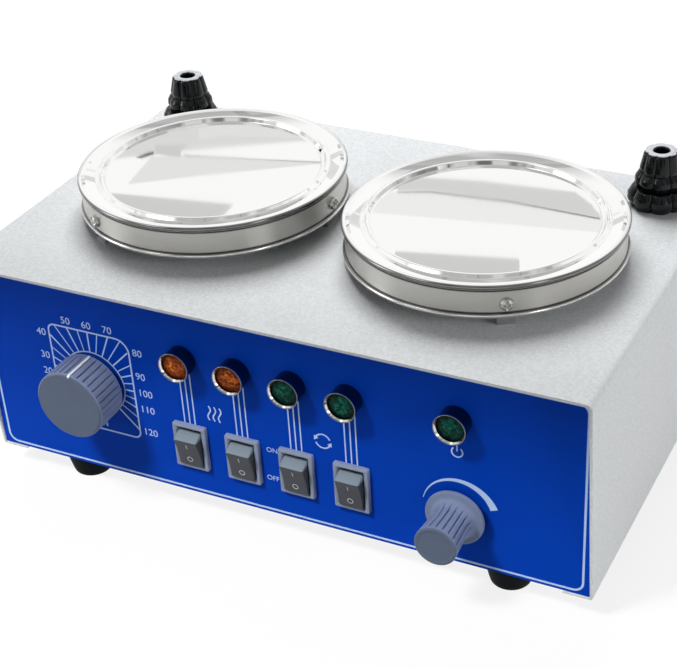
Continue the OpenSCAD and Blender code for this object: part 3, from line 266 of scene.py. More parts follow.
class Wire:
    """A socket in a shader tree. Its operators add Math nodes, and node() adds any other node."""

    def __init__(self, tree, socket=None):
        self.tree, self.socket = tree, socket

    def node(self, kind, settings=None, values=None, out=0):
        """Adds a node of that kind: its settings first, then the values or links of its sockets."""
        made = self.tree.nodes.new("ShaderNode" + kind)
        for key, value in (settings or {}).items():
            setattr(made, key, value)
        for key, value in (values or {}).items():
            self.feed(made.inputs[key], value)
        return Wire(self.tree, made.outputs[out])

    def feed(self, socket, value):
        """Links a wire to a socket, or sets the socket's own value."""
        if isinstance(value, Wire):
            self.tree.links.new(value.socket, socket)
        elif socket.type == "RGBA" and len(value) == 3:
            socket.default_value = (*value, 1)
        else:
            socket.default_value = value

    def show(self, shader):
        """Makes a shader the surface that this tree's material shows."""
        self.feed(self.tree.nodes["Material Output"].inputs["Surface"], shader)

    def math(self, operation, *terms):
        """A Math node with these terms."""
        return self.node("Math", {"operation": operation}, dict(enumerate(terms)))

    def vector(self, operation, *terms, out=0):
        """A Vector Math node with these terms."""
        return self.node("VectorMath", {"operation": operation}, dict(enumerate(terms)), out)

    def part(self, vector, k):
        """One of a vector's numbers: 0, 1 or 2 for x, y or z."""
        return self.node("SeparateXYZ", None, {0: vector}, k)

    def ray(self, kind):
        """1 for rays of that kind, such as Camera or Glossy, and 0 for all others."""
        return self.node("LightPath", out="Is " + kind + " Ray")

    def blend(self, share, first, second):
        """Shader between first and second."""
        return self.node("MixShader", None, {0: share, 1: first, 2: second})

    def glow(self, colour, strength=1.0, kind="Emission"):
        """A shader that gives off light: Emission on a sheet, or Background in the world."""
        return self.node(kind, None, {"Color": colour, "Strength": strength})

    def __add__(self, other):
        return self.math("ADD", self, other)

    def __sub__(self, other):
        return self.math("SUBTRACT", self, other)

    def __rsub__(self, other):
        return self.math("SUBTRACT", other, self)

    def __mul__(self, other):
        return self.math("MULTIPLY", self, other)

    __radd__ = __add__
    __rmul__ = __mul__

    def noise(self, at, size_mm, detail=2.0, rough=0.5):
        """Noise from 0 to 1 whose patches are about size_mm across."""
        return self.node("TexNoise", None, {
            "Vector": at, "Scale": 1 / (size_mm * MM), "Detail": detail, "Roughness": rough})

    def step(self, value, low, high):
        """0 below low, 1 above high, smooth between."""
        return self.node("MapRange", {"interpolation_type": "SMOOTHSTEP"}, {
            "Value": value, "From Min": low, "From Max": high})

    def past(self, value, low_mm, high_mm):
        """The same step between two distances in millimetres."""
        return self.step(value, low_mm * MM, high_mm * MM)

    def band(self, value, middle_mm, half_mm):
        """1 at the middle of a band, falling smoothly to 0 at half_mm on either side."""
        return self.past(self.math("ABSOLUTE", value - middle_mm * MM), half_mm, 0.0)

    def mix(self, share, first, second):
        """Colour between first and second."""
        return self.node("Mix", {"data_type": "RGBA"}, {0: share, 6: first, 7: second}, 2)

    def tones(self, share, colour, low, high):
        """The colour between low and high times its brightness."""
        return self.mix(share, shade(colour, low), shade(colour, high))

    def bump(self, height, depth_mm, strength):
        """Normal of a surface raised by height times depth_mm."""
        return self.node("Bump", None, {
            "Strength": strength, "Distance": depth_mm * MM, "Height": height})


def srgb(red, green, blue):
    """A colour as measured on screen, 0 to 255, in the linear values that shaders take."""
    c = np.array([red, green, blue]) / 255
    return tuple(float(k) for k in np.where(c < 0.04045, c / 12.92, ((c + 0.055) / 1.055) ** 2.4))


def shade(colour, factor):
    """The colour made lighter or darker."""
    return tuple(min(1.0, k * factor) for k in colour)


def new_tree(name):
    """A new material, and the wire that adds nodes to it."""
    made = bpy.data.materials.new(name)
    made.use_nodes = True
    return made, Wire(made.node_tree)


def material(name, fixed, dress):
    """A material: fixed values go straight onto the shader's sockets, and dress(wire, at) gives what
    varies, where at is the place on the object."""
    made, wire = new_tree(name)
    shader = made.node_tree.nodes["Principled BSDF"]
    at = wire.node("TexCoord", out="Object")
    for key, value in {**fixed, **dress(wire, at)}.items():
        wire.feed(shader.inputs[key], value)
    return made


def moulded(name, colour, rough, grain_mm, depth_mm, gloss=0.4):
    """Moulded plastic: fine even grain, slight flow marks in the colour, a few rubbed patches."""
    def dress(w, at):
        flow = w.noise(at, 9, 3)
        grain = w.noise(at, grain_mm, 2)
        rubbed = w.step(w.noise(at, 3.5, 4, 0.6), 0.52, 0.72)
        return {
            "Base Color": w.tones(flow, colour, 0.94, 1.06),
            "Roughness": rough + 0.10 * (grain - 0.5) - 0.06 * rubbed,
            "Normal": w.bump(grain, depth_mm, 0.5)}
    return material(name, {"Specular IOR Level": gloss}, dress)


def worn_knob(name, face_y):
    """Knob moulding: grey with fine grain; the grip behind the face at face_y is painted paler than the face,
    for the light from above on the flank and the shade on the face.
    """
    colour = srgb(88, 99, 119)

    def dress(w, at):
        grain = w.noise(at, 0.3, 2)
        flow = w.noise(at, 9, 3)
        # painted light and shade: behind face_y the grip takes the paler tone, and the face keeps the darker
        # tone
        grip = w.past(w.part(at, 1), face_y + 0.25, face_y + 0.75)
        return {
            "Base Color": w.mix(grip, w.tones(flow, colour, 0.94, 1.06), srgb(118, 130, 158)),
            "Roughness": 0.42 + 0.10 * (grain - 0.5),
            "Normal": w.bump(grain, 0.012, 0.5)}
    return material(name, {"Specular IOR Level": 0.12}, dress)


def worn_rocker():
    """Rocker moulding: grey with fine grain; the upper tip is painted paler than the lower face, for the
    light on the upper facet and the shade on the lower face, and is smoother there, with a coat."""
    def dress(w, at):
        grain = w.noise(at, 0.25, 2)
        flow = w.noise(at, 5, 3)
        height = w.part(at, 2) + 0.2 * MM * (flow - 0.5)
        # painted light and shade: above the tip height the colour is the pale tip tone, below it the darker
        # face tone; the same mask makes the tip smoother and coated
        rubbed = w.past(height, ROCKER_TIP_Z, ROCKER_TIP_Z + 0.25)
        face = w.mix(flow, srgb(68, 71, 77), srgb(78, 81, 87))
        return {
            "Base Color": w.mix(rubbed, face, srgb(120, 133, 143)),
            "Roughness": 0.48 + 0.10 * (grain - 0.5) - 0.08 * rubbed,
            "Coat Weight": rubbed,
            "Normal": w.bump(grain, 0.006, 0.5)}
    return material("rocker_moulding", {"Specular IOR Level": 0.15, "Coat Roughness": 0.38}, dress)


def plated(name, colour, rough, stretch, line_mm, dull=0.12):
    """Plated or drawn metal: fine lines along one direction and cloudy dull patches."""
    def dress(w, at):
        run = w.node("Mapping", None, {"Vector": at, "Scale": tuple(1 / k for k in stretch)})
        lines = w.noise(run, line_mm, 3, 0.6)
        cloud = w.noise(at, 6, 4)
        return {
            "Base Color": w.tones(cloud, colour, 0.88, 1.06),
            "Roughness": rough + dull * (cloud - 0.5) + 0.12 * (lines - 0.5),
            "Normal": w.bump(lines, 0.008, 0.4)}
    return material(name, {"Metallic": 1.0}, dress)


# Finishes

def case_paint():
    """Pale powder coat: a fine orange-peel grain with tiny pits, and faint handling marks."""
    colour = srgb(223, 226, 228)

    def dress(w, at):
        peel = w.noise(at, 1.1, 2, 0.55)
        speck = w.noise(at, 0.45, 1)
        cloud = w.noise(at, 40, 3)
        grain = 0.7 * peel + 0.3 * speck
        return {
            "Base Color": w.tones(w.step(grain, 0.34, 0.66), colour, 0.90, 1.07),
            "Roughness": 0.46 + 0.12 * (peel - 0.5) + 0.08 * (cloud - 0.5),
            "Normal": w.bump(grain, 0.08, 0.55)}
    return material("case_paint", {"Specular IOR Level": 0.35}, dress)


def panel_film():
    """Blue printed film on the panel: satin, with a very fine leather grain and soft cloudiness."""
    colour = srgb(2, 64, 182)

    def dress(w, at):
        grain = w.noise(at, 0.4, 2)
        cloud = w.noise(at, 30, 3)
        return {
            "Base Color": w.tones(cloud, colour, 0.93, 1.07),
            "Roughness": 0.42 + 0.12 * (grain - 0.5),
            "Normal": w.bump(grain, 0.006, 0.4)}
    return material("panel_film", {"Specular IOR Level": 0.04}, dress)


def plate_steel(name, middle_x):
    """Spun stainless steel about a plate's axis: mirror floor and rim with faint turning rings, satin
    skirt with fine lines round it, painted shade as dark bands in the creases under the rim and above the
    hem and a painted dark line round the rim's edge. Radius and depth below the rim choose the finish."""
    def dress(w, at):
        local = w.vector("SUBTRACT", at, (middle_x * MM, 0, RIM_Z * MM))
        flat = w.vector("MULTIPLY", local, (1, 1, 0))
        radius = w.vector("LENGTH", flat, out="Value")
        around = w.vector("NORMALIZE", flat)
        drop = w.part(local, 2)
        rings_at = w.node("CombineXYZ", None, {
            "X": w.part(around, 0) * (4 * MM), "Y": w.part(around, 1) * (4 * MM), "Z": radius + drop})
        rings = w.noise(rings_at, 0.5, 3, 0.6)
        smear = w.noise(at, 22, 3)
        depth = 0.0 - drop
        outside = w.past(radius, SKIRT_R - 1.6, SKIRT_R - 0.9)
        skirt = outside * w.past(depth, RIM_BEAD - 0.3, RIM_BEAD)
        skirt = skirt * w.past(depth, HEM_TOP + 0.3, HEM_TOP - 0.1)
        # painted shade: dark bands in the creases under the rim and above the hem, and a dark line round the
        # rim's edge, darken the metal's colour
        upper, lower = w.band(depth, RIM_BEAD + 0.9, 0.75), w.band(depth, HEM_TOP - 0.4, 0.7)
        edge = w.past(radius, PLATE_R - 0.9, PLATE_R - 0.2) * w.past(depth, HEM_TOP, RIM_BEAD)
        dark = w.math("MAXIMUM", outside * w.math("MAXIMUM", upper, lower), 0.8 * edge)
        metal = w.mix(skirt, srgb(252, 252, 251), srgb(205, 203, 198))
        rough = 0.012 + 0.012 * rings * rings + 0.008 * smear
        return {
            "Base Color": w.mix(dark, metal, srgb(44, 42, 40)),
            "Roughness": rough + skirt * (0.31 + 0.10 * (rings - 0.5)),
            "Normal": w.bump(rings, 0.004, 0.07)}
    return material(name, {"Metallic": 1.0, "Anisotropic": 0.8, "Anisotropic Rotation": 0.25}, dress)


def lamp_chrome():
    """Bright chrome inner wall and a greyer lip over a darker, hazier tube; depth from the lip chooses
    between them."""
    def dress(w, at):
        haze = w.noise(at, 2.5, 3)
        y = w.part(at, 1)
        lip_y = FRONT - LAMP_RISE
        tube = w.past(y, lip_y + 0.9, lip_y + 1.1)
        lip = w.past(y, lip_y + 0.3, lip_y + 0.1)
        bright = w.mix(haze, srgb(196, 196, 196), srgb(222, 222, 221))
        bright = w.mix(lip, bright, srgb(124, 122, 120))
        return {
            "Base Color": w.mix(tube, bright, srgb(96, 92, 92)),
            "Roughness": 0.06 + 0.08 * haze * haze + 0.10 * tube}
    return material("lamp_chrome", {"Metallic": 1.0}, dress)


def lens_tint(name, deep, bright):
    """Tinted clear moulding: each small prism gets a tone of its own, painted light for the light its facets
    catch; the lens is painted lighter in the middle and painted shade at the edge. The lens keeps the
    distance from its axis as an attribute."""
    def dress(w, at):
        prism = w.node("TexVoronoi", None, {
            "Vector": at, "Scale": 1 / (1.1 * MM), "Randomness": 0.8}, "Color")
        tone = w.node("SeparateColor", None, {0: prism})
        away = w.node("Attribute", {"attribute_name": "axis_distance"}, None, "Fac")
        # painted light: the prism tones and the lighter middle stand in for light caught by the lens; the
        # dark edge is painted shade
        middle = w.step(away, 0.95, 0.25)
        glow = (0.12 + 0.88 * tone * tone) * (0.15 + 0.85 * middle)
        return {
            "Base Color": w.mix(glow, deep, bright),
            "Roughness": 0.12 + 0.08 * tone}
    return material(name, {"Specular IOR Level": 0.06}, dress)


def clear_glass():
    """Fuse tube: pale glass with a faint veil."""
    def dress(w, at):
        veil = w.noise(at, 3, 2)
        return {
            "Base Color": w.mix(veil, srgb(196, 210, 212), srgb(226, 234, 235)),
            "Roughness": 0.05 + 0.05 * veil}
    return material("fuse_tube_glass", {"Transmission Weight": 0.6, "IOR": 1.5}, dress)


def circuit_board():
    """Green lacquered board with faint copper runs under the lacquer."""
    colour = srgb(22, 92, 44)

    def dress(w, at):
        runs = w.node("TexBrick", {"offset": 0.35}, {
            "Vector": at, "Scale": 120.0, "Mortar Size": 0.03, "Color1": (0, 0, 0), "Color2": (0, 0, 0),
            "Mortar": (1, 1, 1)})
        return {
            "Base Color": w.mix(runs, colour, shade(colour, 1.8)),
            "Roughness": 0.28 + 0.1 * w.noise(at, 2)}
    return material("circuit_board", {"Coat Weight": 0.3}, dress)


def pressed_sheet(name, first, second, flake_mm, rough):
    """Pressed mica or fibre: overlapping flakes of two tones."""
    def dress(w, at):
        flakes = w.node("TexVoronoi", None, {"Vector": at, "Scale": 1 / (flake_mm * MM)}, "Distance")
        fibre = w.noise(at, flake_mm / 4, 3)
        return {
            "Base Color": w.mix(flakes, first, second),
            "Roughness": rough + 0.15 * (fibre - 0.5),
            "Normal": w.bump(fibre, 0.05, 0.5)}
    return material(name, {}, dress)


def rubber():
    """Black rubber: matt, dusty in the hollows of its grain."""
    colour = srgb(9, 11, 15)

    def dress(w, at):
        grain = w.noise(at, 0.5, 3)
        dust = w.step(w.noise(at, 5, 4, 0.65), 0.5, 0.8)
        return {
            "Base Color": w.mix(dust, colour, shade(colour, 1.8)),
            "Roughness": 0.62 + 0.16 * (grain - 0.5) + 0.1 * dust,
            "Normal": w.bump(grain, 0.04, 0.6)}
    return material("foot_rubber", {"Specular IOR Level": 0.06}, dress)


def gloss_black():
    """Glossy black moulding with fine rubbing marks that dull it here and there; the flat top round the
    rod hole is pale metal."""
    colour = srgb(15, 17, 20)

    def dress(w, at):
        rub = w.step(w.noise(at, 2.2, 5, 0.65), 0.45, 0.75)
        fine = w.noise(at, 0.3, 2)
        # the flat top round the rod hole is pale metal
        metal_top = w.past(w.part(at, 2), CLAMP_TOP - 0.30, CLAMP_TOP - 0.08)
        black = w.mix(rub, colour, shade(colour, 1.7))
        return {
            "Base Color": w.mix(metal_top, black, srgb(222, 225, 230)),
            "Metallic": metal_top,
            "Roughness": 0.09 + 0.10 * rub + 0.03 * (fine - 0.5),
            "Normal": w.bump(fine, 0.006, 0.15)}
    return material("gloss_black", {"Specular IOR Level": 0.28}, dress)


def screen_print(name, colour):
    """Screen-printed ink: even, with thin spots at the scale of the mesh."""
    def dress(w, at):
        thin = w.noise(at, 0.6, 2)
        return {
            "Base Color": w.tones(thin, colour, 0.86, 1.08),
            "Roughness": 0.5 + 0.1 * (thin - 0.5)}
    return material(name, {"Specular IOR Level": 0.2}, dress)


PAINT = case_paint()
FILM = panel_film()
TIMER_GREY = worn_knob("timer_knob_moulding", TIMER_FACE)
SPEED_GREY = worn_knob("speed_knob_moulding", SPEED_FACE)
BEZEL = moulded("bezel_moulding", srgb(138, 149, 172), 0.45, 0.3, 0.01, 0.2)
ROCKER = worn_rocker()
CHROME = lamp_chrome()
ORANGE = lens_tint("orange_lens", srgb(84, 20, 3), srgb(236, 128, 48))
GREEN = lens_tint("green_lens", srgb(1, 28, 24), srgb(8, 118, 94))
BLACK = gloss_black()
DULL_BLACK = moulded("dull_black_moulding", srgb(30, 31, 33), 0.5, 0.4, 0.02)
RUBBER = rubber()
STEEL = plated("plated_screw", srgb(206, 205, 202), 0.26, (1, 1, 4), 0.6)
ZINC = plated("zinc_sheet", srgb(190, 192, 193), 0.34, (1, 8, 1), 0.8, 0.2)
SHAFT = plated("ground_shaft", srgb(198, 198, 196), 0.2, (1, 1, 0.2), 0.4)
BRASS = plated("turned_brass", srgb(206, 172, 96), 0.3, (1, 1, 0.2), 0.4)
MOTOR = moulded("motor_enamel", srgb(74, 77, 80), 0.45, 0.8, 0.03)
CORE = moulded("varnished_core", srgb(60, 56, 52), 0.4, 0.6, 0.04)
MAGNET = plated("ground_magnet", srgb(96, 96, 100), 0.35, (1, 1, 1), 0.4)
NYLON = moulded("white_nylon", srgb(226, 224, 214), 0.45, 0.5, 0.01)
MICA = pressed_sheet("pressed_mica", srgb(150, 128, 92), srgb(190, 172, 132), 4, 0.4)
FIBRE = pressed_sheet("pressed_fibre", srgb(214, 208, 192), srgb(232, 228, 216), 1.5, 0.85)
GLASS = clear_glass()
BOARD = circuit_board()
INK = screen_print("pale_ink", srgb(192, 217, 255))
POINTER_INK = screen_print("pointer_ink", srgb(232, 234, 238))
MARK_INK = screen_print("rocker_mark", srgb(196, 198, 200))


# Case

def cover_sheet():
    """Folded cover: the section runs up one side, over the top and down the other, with a flange at each
    foot; its front edge leans from the eave to the panel's foot, and the sheet gets its thickness inwards."""
    x, z0, z1 = COVER_HI[0], GROUND_GAP, CASE_TOP
    half = rounded([(x - FLANGE_W, z0), (x, z0, SHEET), (x, z1, FOLD_R), (0, z1)], steps=7)
    section = np.concatenate([half, half[::-1][1:] * (-1, 1)])
    lean = np.clip((section[:, 1] - z0) / (CASE_TOP - SHEET - z0), 0, 1)
    front = FRONT + lean * (COVER_LO[1] - FRONT)
    depth = np.linspace(0, 1, 3)
    y = front[:, None] + depth * (COVER_HI[1] - front[:, None])
    skin = np.stack([np.repeat(section[:, :1], 3, 1), y, np.repeat(section[:, 1:], 3, 1)], -1)
    made = piece("cover_sheet", [grid(skin, ring=False)], PAINT, "cover_paint", stands_for=["top_cover"])
    wall = made.modifiers.new("sheet", "SOLIDIFY")
    wall.thickness = SHEET * MM
    wall.offset = -1
    edge = made.modifiers.new("paint_edge", "BEVEL")
    edge.width = PAINT_EDGE * MM
    edge.segments = 3
    edge.limit_method = "ANGLE"


def rubber_feet():
    """Four turned feet: tapered, with round edges and a well for the screw's head."""
    well_r, well_h, sole_r, top_r = 3.9, 5.4, 8, 10.5
    profile = rounded([
        (0, well_h), (well_r, well_h), (well_r, 0, 0.5), (sole_r, 0, 1.4), (sole_r + 0.7, 2.4, 1.0),
        (top_r, FOOT_H - 1.4, 0.8), (top_r, FOOT_H, 0.5), (0, FOOT_H)])
    skins = [grid(turned(profile, 48) + (x, y, 0)) for x, y in FEET]
    piece("rubber_foot_set", skins, RUBBER, "black_rubber", stands_for=["rubber_feet"])


# Heating plates

def plate_profile():
    """Half section of a plate: sunk floor, ridge, dished shelf, rolled rim, skirt and rolled hem, then back
    along the underside to the axis."""
    floor, under = RIM_Z - FLOOR_DEPTH, RIM_Z - FLOOR_DEPTH - PLATE_T
    hem = RIM_Z - SKIRT_H
    rim_in, skirt_in = PLATE_R - 2.4, SKIRT_R - PLATE_T
    corners = [
        (0, floor), (FLOOR_R - 0.6, floor, 0.5), (FLOOR_R + 0.3, RIM_Z - 0.2, 0.4),
        (FLOOR_R + 1.4, RIM_Z - 0.05, 0.6), (FLOOR_R + 2.7, RIM_Z - 1.45, 0.7),
        (rim_in - 0.7, RIM_Z - 0.25, 1.0), (rim_in + 0.7, RIM_Z, 0.9), (PLATE_R, RIM_Z, 0.8),
        (PLATE_R, RIM_Z - RIM_BEAD, 0.7),
        (SKIRT_R, RIM_Z - RIM_BEAD - 0.2, 0.2), (SKIRT_R, hem + HEM_BEAD + 0.2, 0.4),
        (PLATE_R, hem + HEM_BEAD, 0.6), (PLATE_R, hem, 0.6), (skirt_in, hem, 0.5),
        (skirt_in, RIM_Z - 1.2, 0.6), (FLOOR_R + 1.6, RIM_Z - 2.4, 0.5), (FLOOR_R - 0.5, under, 0.4),
        (0, under)]
    return rounded(corners, steps=7)


def spread_floor(profile):
    """Adds ten rows along the first flat run, the last one close to its end, so that the floor isn't one fan
    of long triangles and stays flat up to its edge."""
    share = np.append(np.linspace(0, 0.99, 10), 1.0)[:, None]
    return np.concatenate([profile[0] + share * (profile[1] - profile[0]), profile[2:]])


def heating_plates():
    """Both plates: the half section goes round each plate's own axis."""
    for side, x in (("left", -PLATE_X), ("right", PLATE_X)):
        skin = turned(spread_floor(plate_profile()), 192) + (x, 0, 0)
        piece("spun_plate_" + side, [grid(skin)], plate_steel("spun_steel_" + side, x), "plate_steel",
              stands_for=["heating_plate_" + side], crease=50)


def cross_head_screw():
    """Pan-head screw on the z axis: the head's profile goes round, and a cross-shaped recess is pressed
    into it where either arm's distance to the point is small."""
    radius, height, shank_r, shank = 2.7, 1.9, 1.5, 5.0
    arm_w, arm_r, sunk = 0.52, 1.5, 0.8
    head = rounded([
        (0, height), (radius * 0.5, height), (radius * 0.86, height * 0.8, 0.5), (radius, 0.4, 0.5),
        (radius, 0), (shank_r, 0), (shank_r, -shank), (0, -shank)])
    crown = np.linspace(head[0], head[1], 8)
    x, y, z = np.moveaxis(turned(np.concatenate([crown, head[2:]]), 48), -1, 0)
    across = np.clip((arm_w - np.minimum(abs(x), abs(y))) / 0.2, 0, 1)
    along = np.clip((arm_r - np.hypot(x, y)) / 0.25, 0, 1)
    return np.stack([x, y, z - sunk * (across * along) * (z > height * 0.6)], -1)


def plate_screws():
    """Screws through the skirts, heads outward, and screws through the brackets' feet, heads up; the right
    plate's are the left one's turned half round."""
    screw = cross_head_screw()
    lying = np.roll(screw, 1, -1) + (SKIRT_R, 0, SIDE_SCREW_Z)
    standing = screw + (BRACKET_SCREW_R, 0, CASE_TOP + BRACKET_T)
    skins = []
    for x, first in ((-PLATE_X, 0), (PLATE_X, 180)):
        for turn in BRACKET_TURNS:
            a = math.radians(first + turn)
            spin = np.array([[math.cos(a), -math.sin(a), 0], [math.sin(a), math.cos(a), 0], [0, 0, 1]])
            skins += [grid(p @ spin.T + (x, 0, 0)) for p in (lying, standing)]
    piece("plate_screw_set", skins, STEEL, "screw_steel", stands_for=["plate_screws"])


# Panel controls

def flutes(count, depth, low, high, sharp):
    """Grooves round a knob: the radius drops by depth where cos(count * angle) is near 1, narrower the
    higher sharp is, fading out at the low and high ends of the grip."""
    fade = 0.7

    def waves(r, h, angle):
        inside = np.clip((h - low) / fade, 0, 1) * np.clip((high - h) / fade, 0, 1)
        groove = (0.5 + 0.5 * np.cos(count * (angle - np.pi / 2))) ** sharp
        return -depth * inside * groove
    return waves


def timer_knob():
    """Timer knob: a turned profile with narrow grooves in its flank, and a pointer line, a thin band that
    runs up the flank and bends over the face's edge."""
    r, length = 15.0, 16.3
    flank = [(r, k) for k in np.linspace(1.4, length - 1.8, 18)]
    profile = np.concatenate([
        rounded([(0, 0), (r - 0.7, 0), (r, 0.5, 0.4), (r, 1.2)]), flank,
        rounded([(r, length - 1.6), (r + 0.05, length - 0.8, 0.4), (r - 0.7, length, 0.4),
                 (r - 1.2, length - 0.06, 0.3), (0, length - 0.1)])])
    grooves = flutes(34, depth=0.75, low=0.9, high=length - 1.2, sharp=16)
    skin = turned(profile, 576, grooves) + (0, 0, KNOB_GAP)
    piece("timer_knob_body", [on_panel(skin, TIMER_X, TIMER_Z)], TIMER_GREY, "knob_plastic",
          "timer_dial", ["timer_knob"])

    width, lift = 0.95, 0.12
    line = np.array([(r + lift, 0.6), (r + lift, length - 1.6), (r + lift + 0.02, length - 0.9),
                     (r - 0.5, length - 0.05)])
    a = math.radians(90 - POINTER_TURN) + np.linspace(-0.5, 0.5, 5) * width / r
    outer = np.stack([line[:, :1] * np.cos(a), line[:, :1] * np.sin(a), np.repeat(line[:, 1:], 5, 1)], -1)
    inner = outer * (0.95, 0.95, 1)
    band = capped(np.concatenate([outer, inner[:, ::-1]], 1)) + (0, 0, KNOB_GAP)
    piece("timer_pointer", [on_panel(band, TIMER_X, TIMER_Z)], POINTER_INK, "knob_plastic", "timer_dial")


def speed_knob():
    """Speed knob: a turned profile whose foot sweeps in to a waist, widening again to the face, with wider
    grooves in the grip."""
    skirt_r, waist, face_r, length = 12.0, 7.7, 8.5, 19.6
    sweep = np.linspace(0, 1, 9)[1:-1]
    foot = [(skirt_r - 1.0 - (skirt_r - waist - 1.0) * k ** 0.55, 1.7 + 4.4 * k ** 2.2) for k in sweep]
    neck = [(waist + (face_r - waist) * k ** 1.5, 6.3 + (length - 8.4) * k) for k in np.linspace(0, 1, 12)]
    profile = np.concatenate([
        rounded([(0, 0), (skirt_r, 0, 0.4), (skirt_r, 1.5, 0.5), (skirt_r - 1.0, 1.7)]), foot, neck,
        rounded([(face_r, length - 1.6), (face_r, length - 0.3, 0.5), (face_r - 1.0, length, 0.6),
                 (face_r - 2.0, length - 0.3, 0.9), (0, length - 0.35)])])
    grooves = flutes(20, depth=0.75, low=3.6, high=length - 1.5, sharp=9)
    skin = turned(profile, 360, grooves) + (0, 0, KNOB_GAP)
    piece("speed_knob_body", [on_panel(skin, SPEED_X, SPEED_Z)], SPEED_GREY, "knob_plastic",
          "speed_dial", ["speed_knob"])


def switch_bezels():
    """Switch frames: rings from the floor of the well up its walls, over the rounded frame and down the
    outside of the body; three contact blades stand behind."""
    w, h, frame_w, frame_h = KEY_OPEN_W / 2, KEY_OPEN_H / 2, KEY_W / 2, KEY_H / 2
    top, well, body_w, body_h, tail = KEY_BEZEL, -12, 6.5, 9.6, -15
    rings = [
        (0, 0, 0, well), (w, h, 0.2, well), (w, h, 0.2, top - 0.9),
        (w + 0.15, h + 0.15, 0.3, top - 0.35), (w + 0.5, h + 0.4, 0.5, top),
        (frame_w - 0.4, frame_h - 0.4, 0.4, top), (frame_w - 0.12, frame_h - 0.12, 0.6, top - 0.12),
        (frame_w, frame_h, 0.7, top - 0.4), (frame_w, frame_h, 0.7, 0),
        (body_w, body_h, 0.4, 0), (body_w, body_h, 0.4, tail), (0, 0, 0, tail)]
    tip, root, pitch = -22, tail + 0.2, 6
    blade = [(0, 0, 0, tip), (2.4, 0.4, 0.1, tip), (2.4, 0.4, 0.1, root), (0, 0, 0, root)]
    for name, x in zip(SWITCHES, COLUMNS):
        skins = [on_panel(ringed(rings), x, KEY_Z)]
        skins += [on_panel(ringed(blade, 2) + (0, pitch * k, 0), x, KEY_Z) for k in (-1, 0, 1)]
        piece("switch_frame_" + name, skins, BEZEL, "switch_plastic", stands_for=["switch_" + name],
              crease=50)


def tilted(points):
    """Turns points about a rocker's pin to its rest position, with the upper tip out."""
    a = math.radians(ROCKER_TILT)
    p = np.asarray(points)
    return np.stack([p[..., 0], p[..., 1] * math.cos(a) - p[..., 2] * math.sin(a),
                     p[..., 1] * math.sin(a) + p[..., 2] * math.cos(a) - PIVOT_IN], -1)


def rocker_rise(v):
    """Height of a rocker's face at v above the pin: the crest, less a hollow that falls off as the square
    of v."""
    crest, hollow, half = 7.2, 0.6, 7.0
    return crest - hollow * (1 - (v / half) ** 2)


def rockers():
    """Rockers: the side view, an arc-hollowed block, carried across the width and drawn in at both ends
    along a quarter circle; a ring is marked on the lower half and a bar on the upper."""
    edge_r, block_r, mark_w = 0.5, 6.0, 0.34
    v = np.linspace(6.4, -6.4, 15)
    half = [(6.4, 7.1), (7.0, 7.15, 0.3), (8.1, 2.5, 0.4), (6.3, -1.6, 0.4)]
    block = rounded([(-c[0], *c[1:]) for c in half] + half[::-1], steps=5)[1:-1]
    side = np.concatenate([np.column_stack([v, rocker_rise(v)]), block])
    middle = side.mean(0)
    turn = np.linspace(0, np.pi / 2, 5)
    reach = ROCKER_W / 2 - edge_r + edge_r * np.sin(turn)
    inset = 1 - edge_r * (1 - np.cos(np.concatenate([turn[::-1], turn]))) / block_r
    rows = middle + inset[:, None, None] * (side - middle)
    end = np.broadcast_to(middle, rows[:1].shape)
    rows = np.concatenate([end, rows, end])
    across = np.concatenate([-reach[-1:], -reach[::-1], reach, reach[-1:]])
    skin = np.concatenate([np.repeat(across[:, None], len(side), 1)[..., None], rows], -1)

    ring = 1.15 * circle(np.arange(28) * 2 * np.pi / 28) - (0, 3.7)
    marks = ((line_of_print(ring, mark_w, True), True), (line_of_print([(0, 2.4), (0, 4.6)], mark_w), False))
    for flat, closed in marks:
        flat[..., 2] += rocker_rise(flat[..., 1]) - 0.02
    for name, x in zip(SWITCHES, COLUMNS):
        piece("rocker_key_" + name, [on_panel(tilted(skin), x, KEY_Z)], ROCKER, "rocker_plastic",
              "key_" + name, ["rocker_" + name], crease=50)
        skins = [on_panel(tilted(flat), x, KEY_Z, closed) for flat, closed in marks]
        piece("rocker_marks_" + name, skins, MARK_INK, "rocker_plastic", "key_" + name)


def pilot_lamps():
    """Lamp tubes: barrel, plain tube, thin lip and a bright inner wall down to the lens seat."""
    r, rise, seat, barrel_r, barrel_end = LAMP_D / 2, LAMP_RISE, LAMP_RISE - 2.2, 4.7, -18
    profile = rounded([
        (0, barrel_end), (barrel_r, barrel_end), (barrel_r, 0), (r - 0.35, 0, 0.1),
        (r - 0.35, rise - 0.8, 0.2), (r, rise - 0.6, 0.15), (r, rise, 0.15), (r - 0.25, rise, 0.12),
        (LENS_R - 0.1, rise - 0.9, 0.3), (LENS_R - 0.2, seat, 0.1), (4.5, seat - 0.2), (4.5, 1.7), (0, 1.7)])
    skins = [on_panel(turned(profile, 64), x, z) for x, z in LAMPS]
    piece("lamp_tube_set", skins, CHROME, "lamp_chrome", stands_for=["lamp_bezels"], crease=45)


def lens_skin():
    """Faceted lens: a shallow dome on rings of 28 points, raised and lowered two by two so that its flat
    faces catch the light, over a plain back."""
    n, raised, back_r, back_z = 28, 0.14, 4.4, 2.2
    rings = LENS_R * np.array([0, 0.25, 0.5, 0.75, 0.93, 1])
    dome = LAMP_RISE - 1.1 - 0.8 * (rings / LENS_R) ** 2
    i, j = np.meshgrid(np.arange(len(rings)), np.arange(n), indexing="ij")
    top = turned(np.column_stack([rings, dome]), n)
    top[..., 2] += raised * (-1.0) ** (i + j // 2) * ((i > 0) & (i < 4))
    return np.concatenate([top, turned([(back_r, back_z), (0, back_z)], n)])


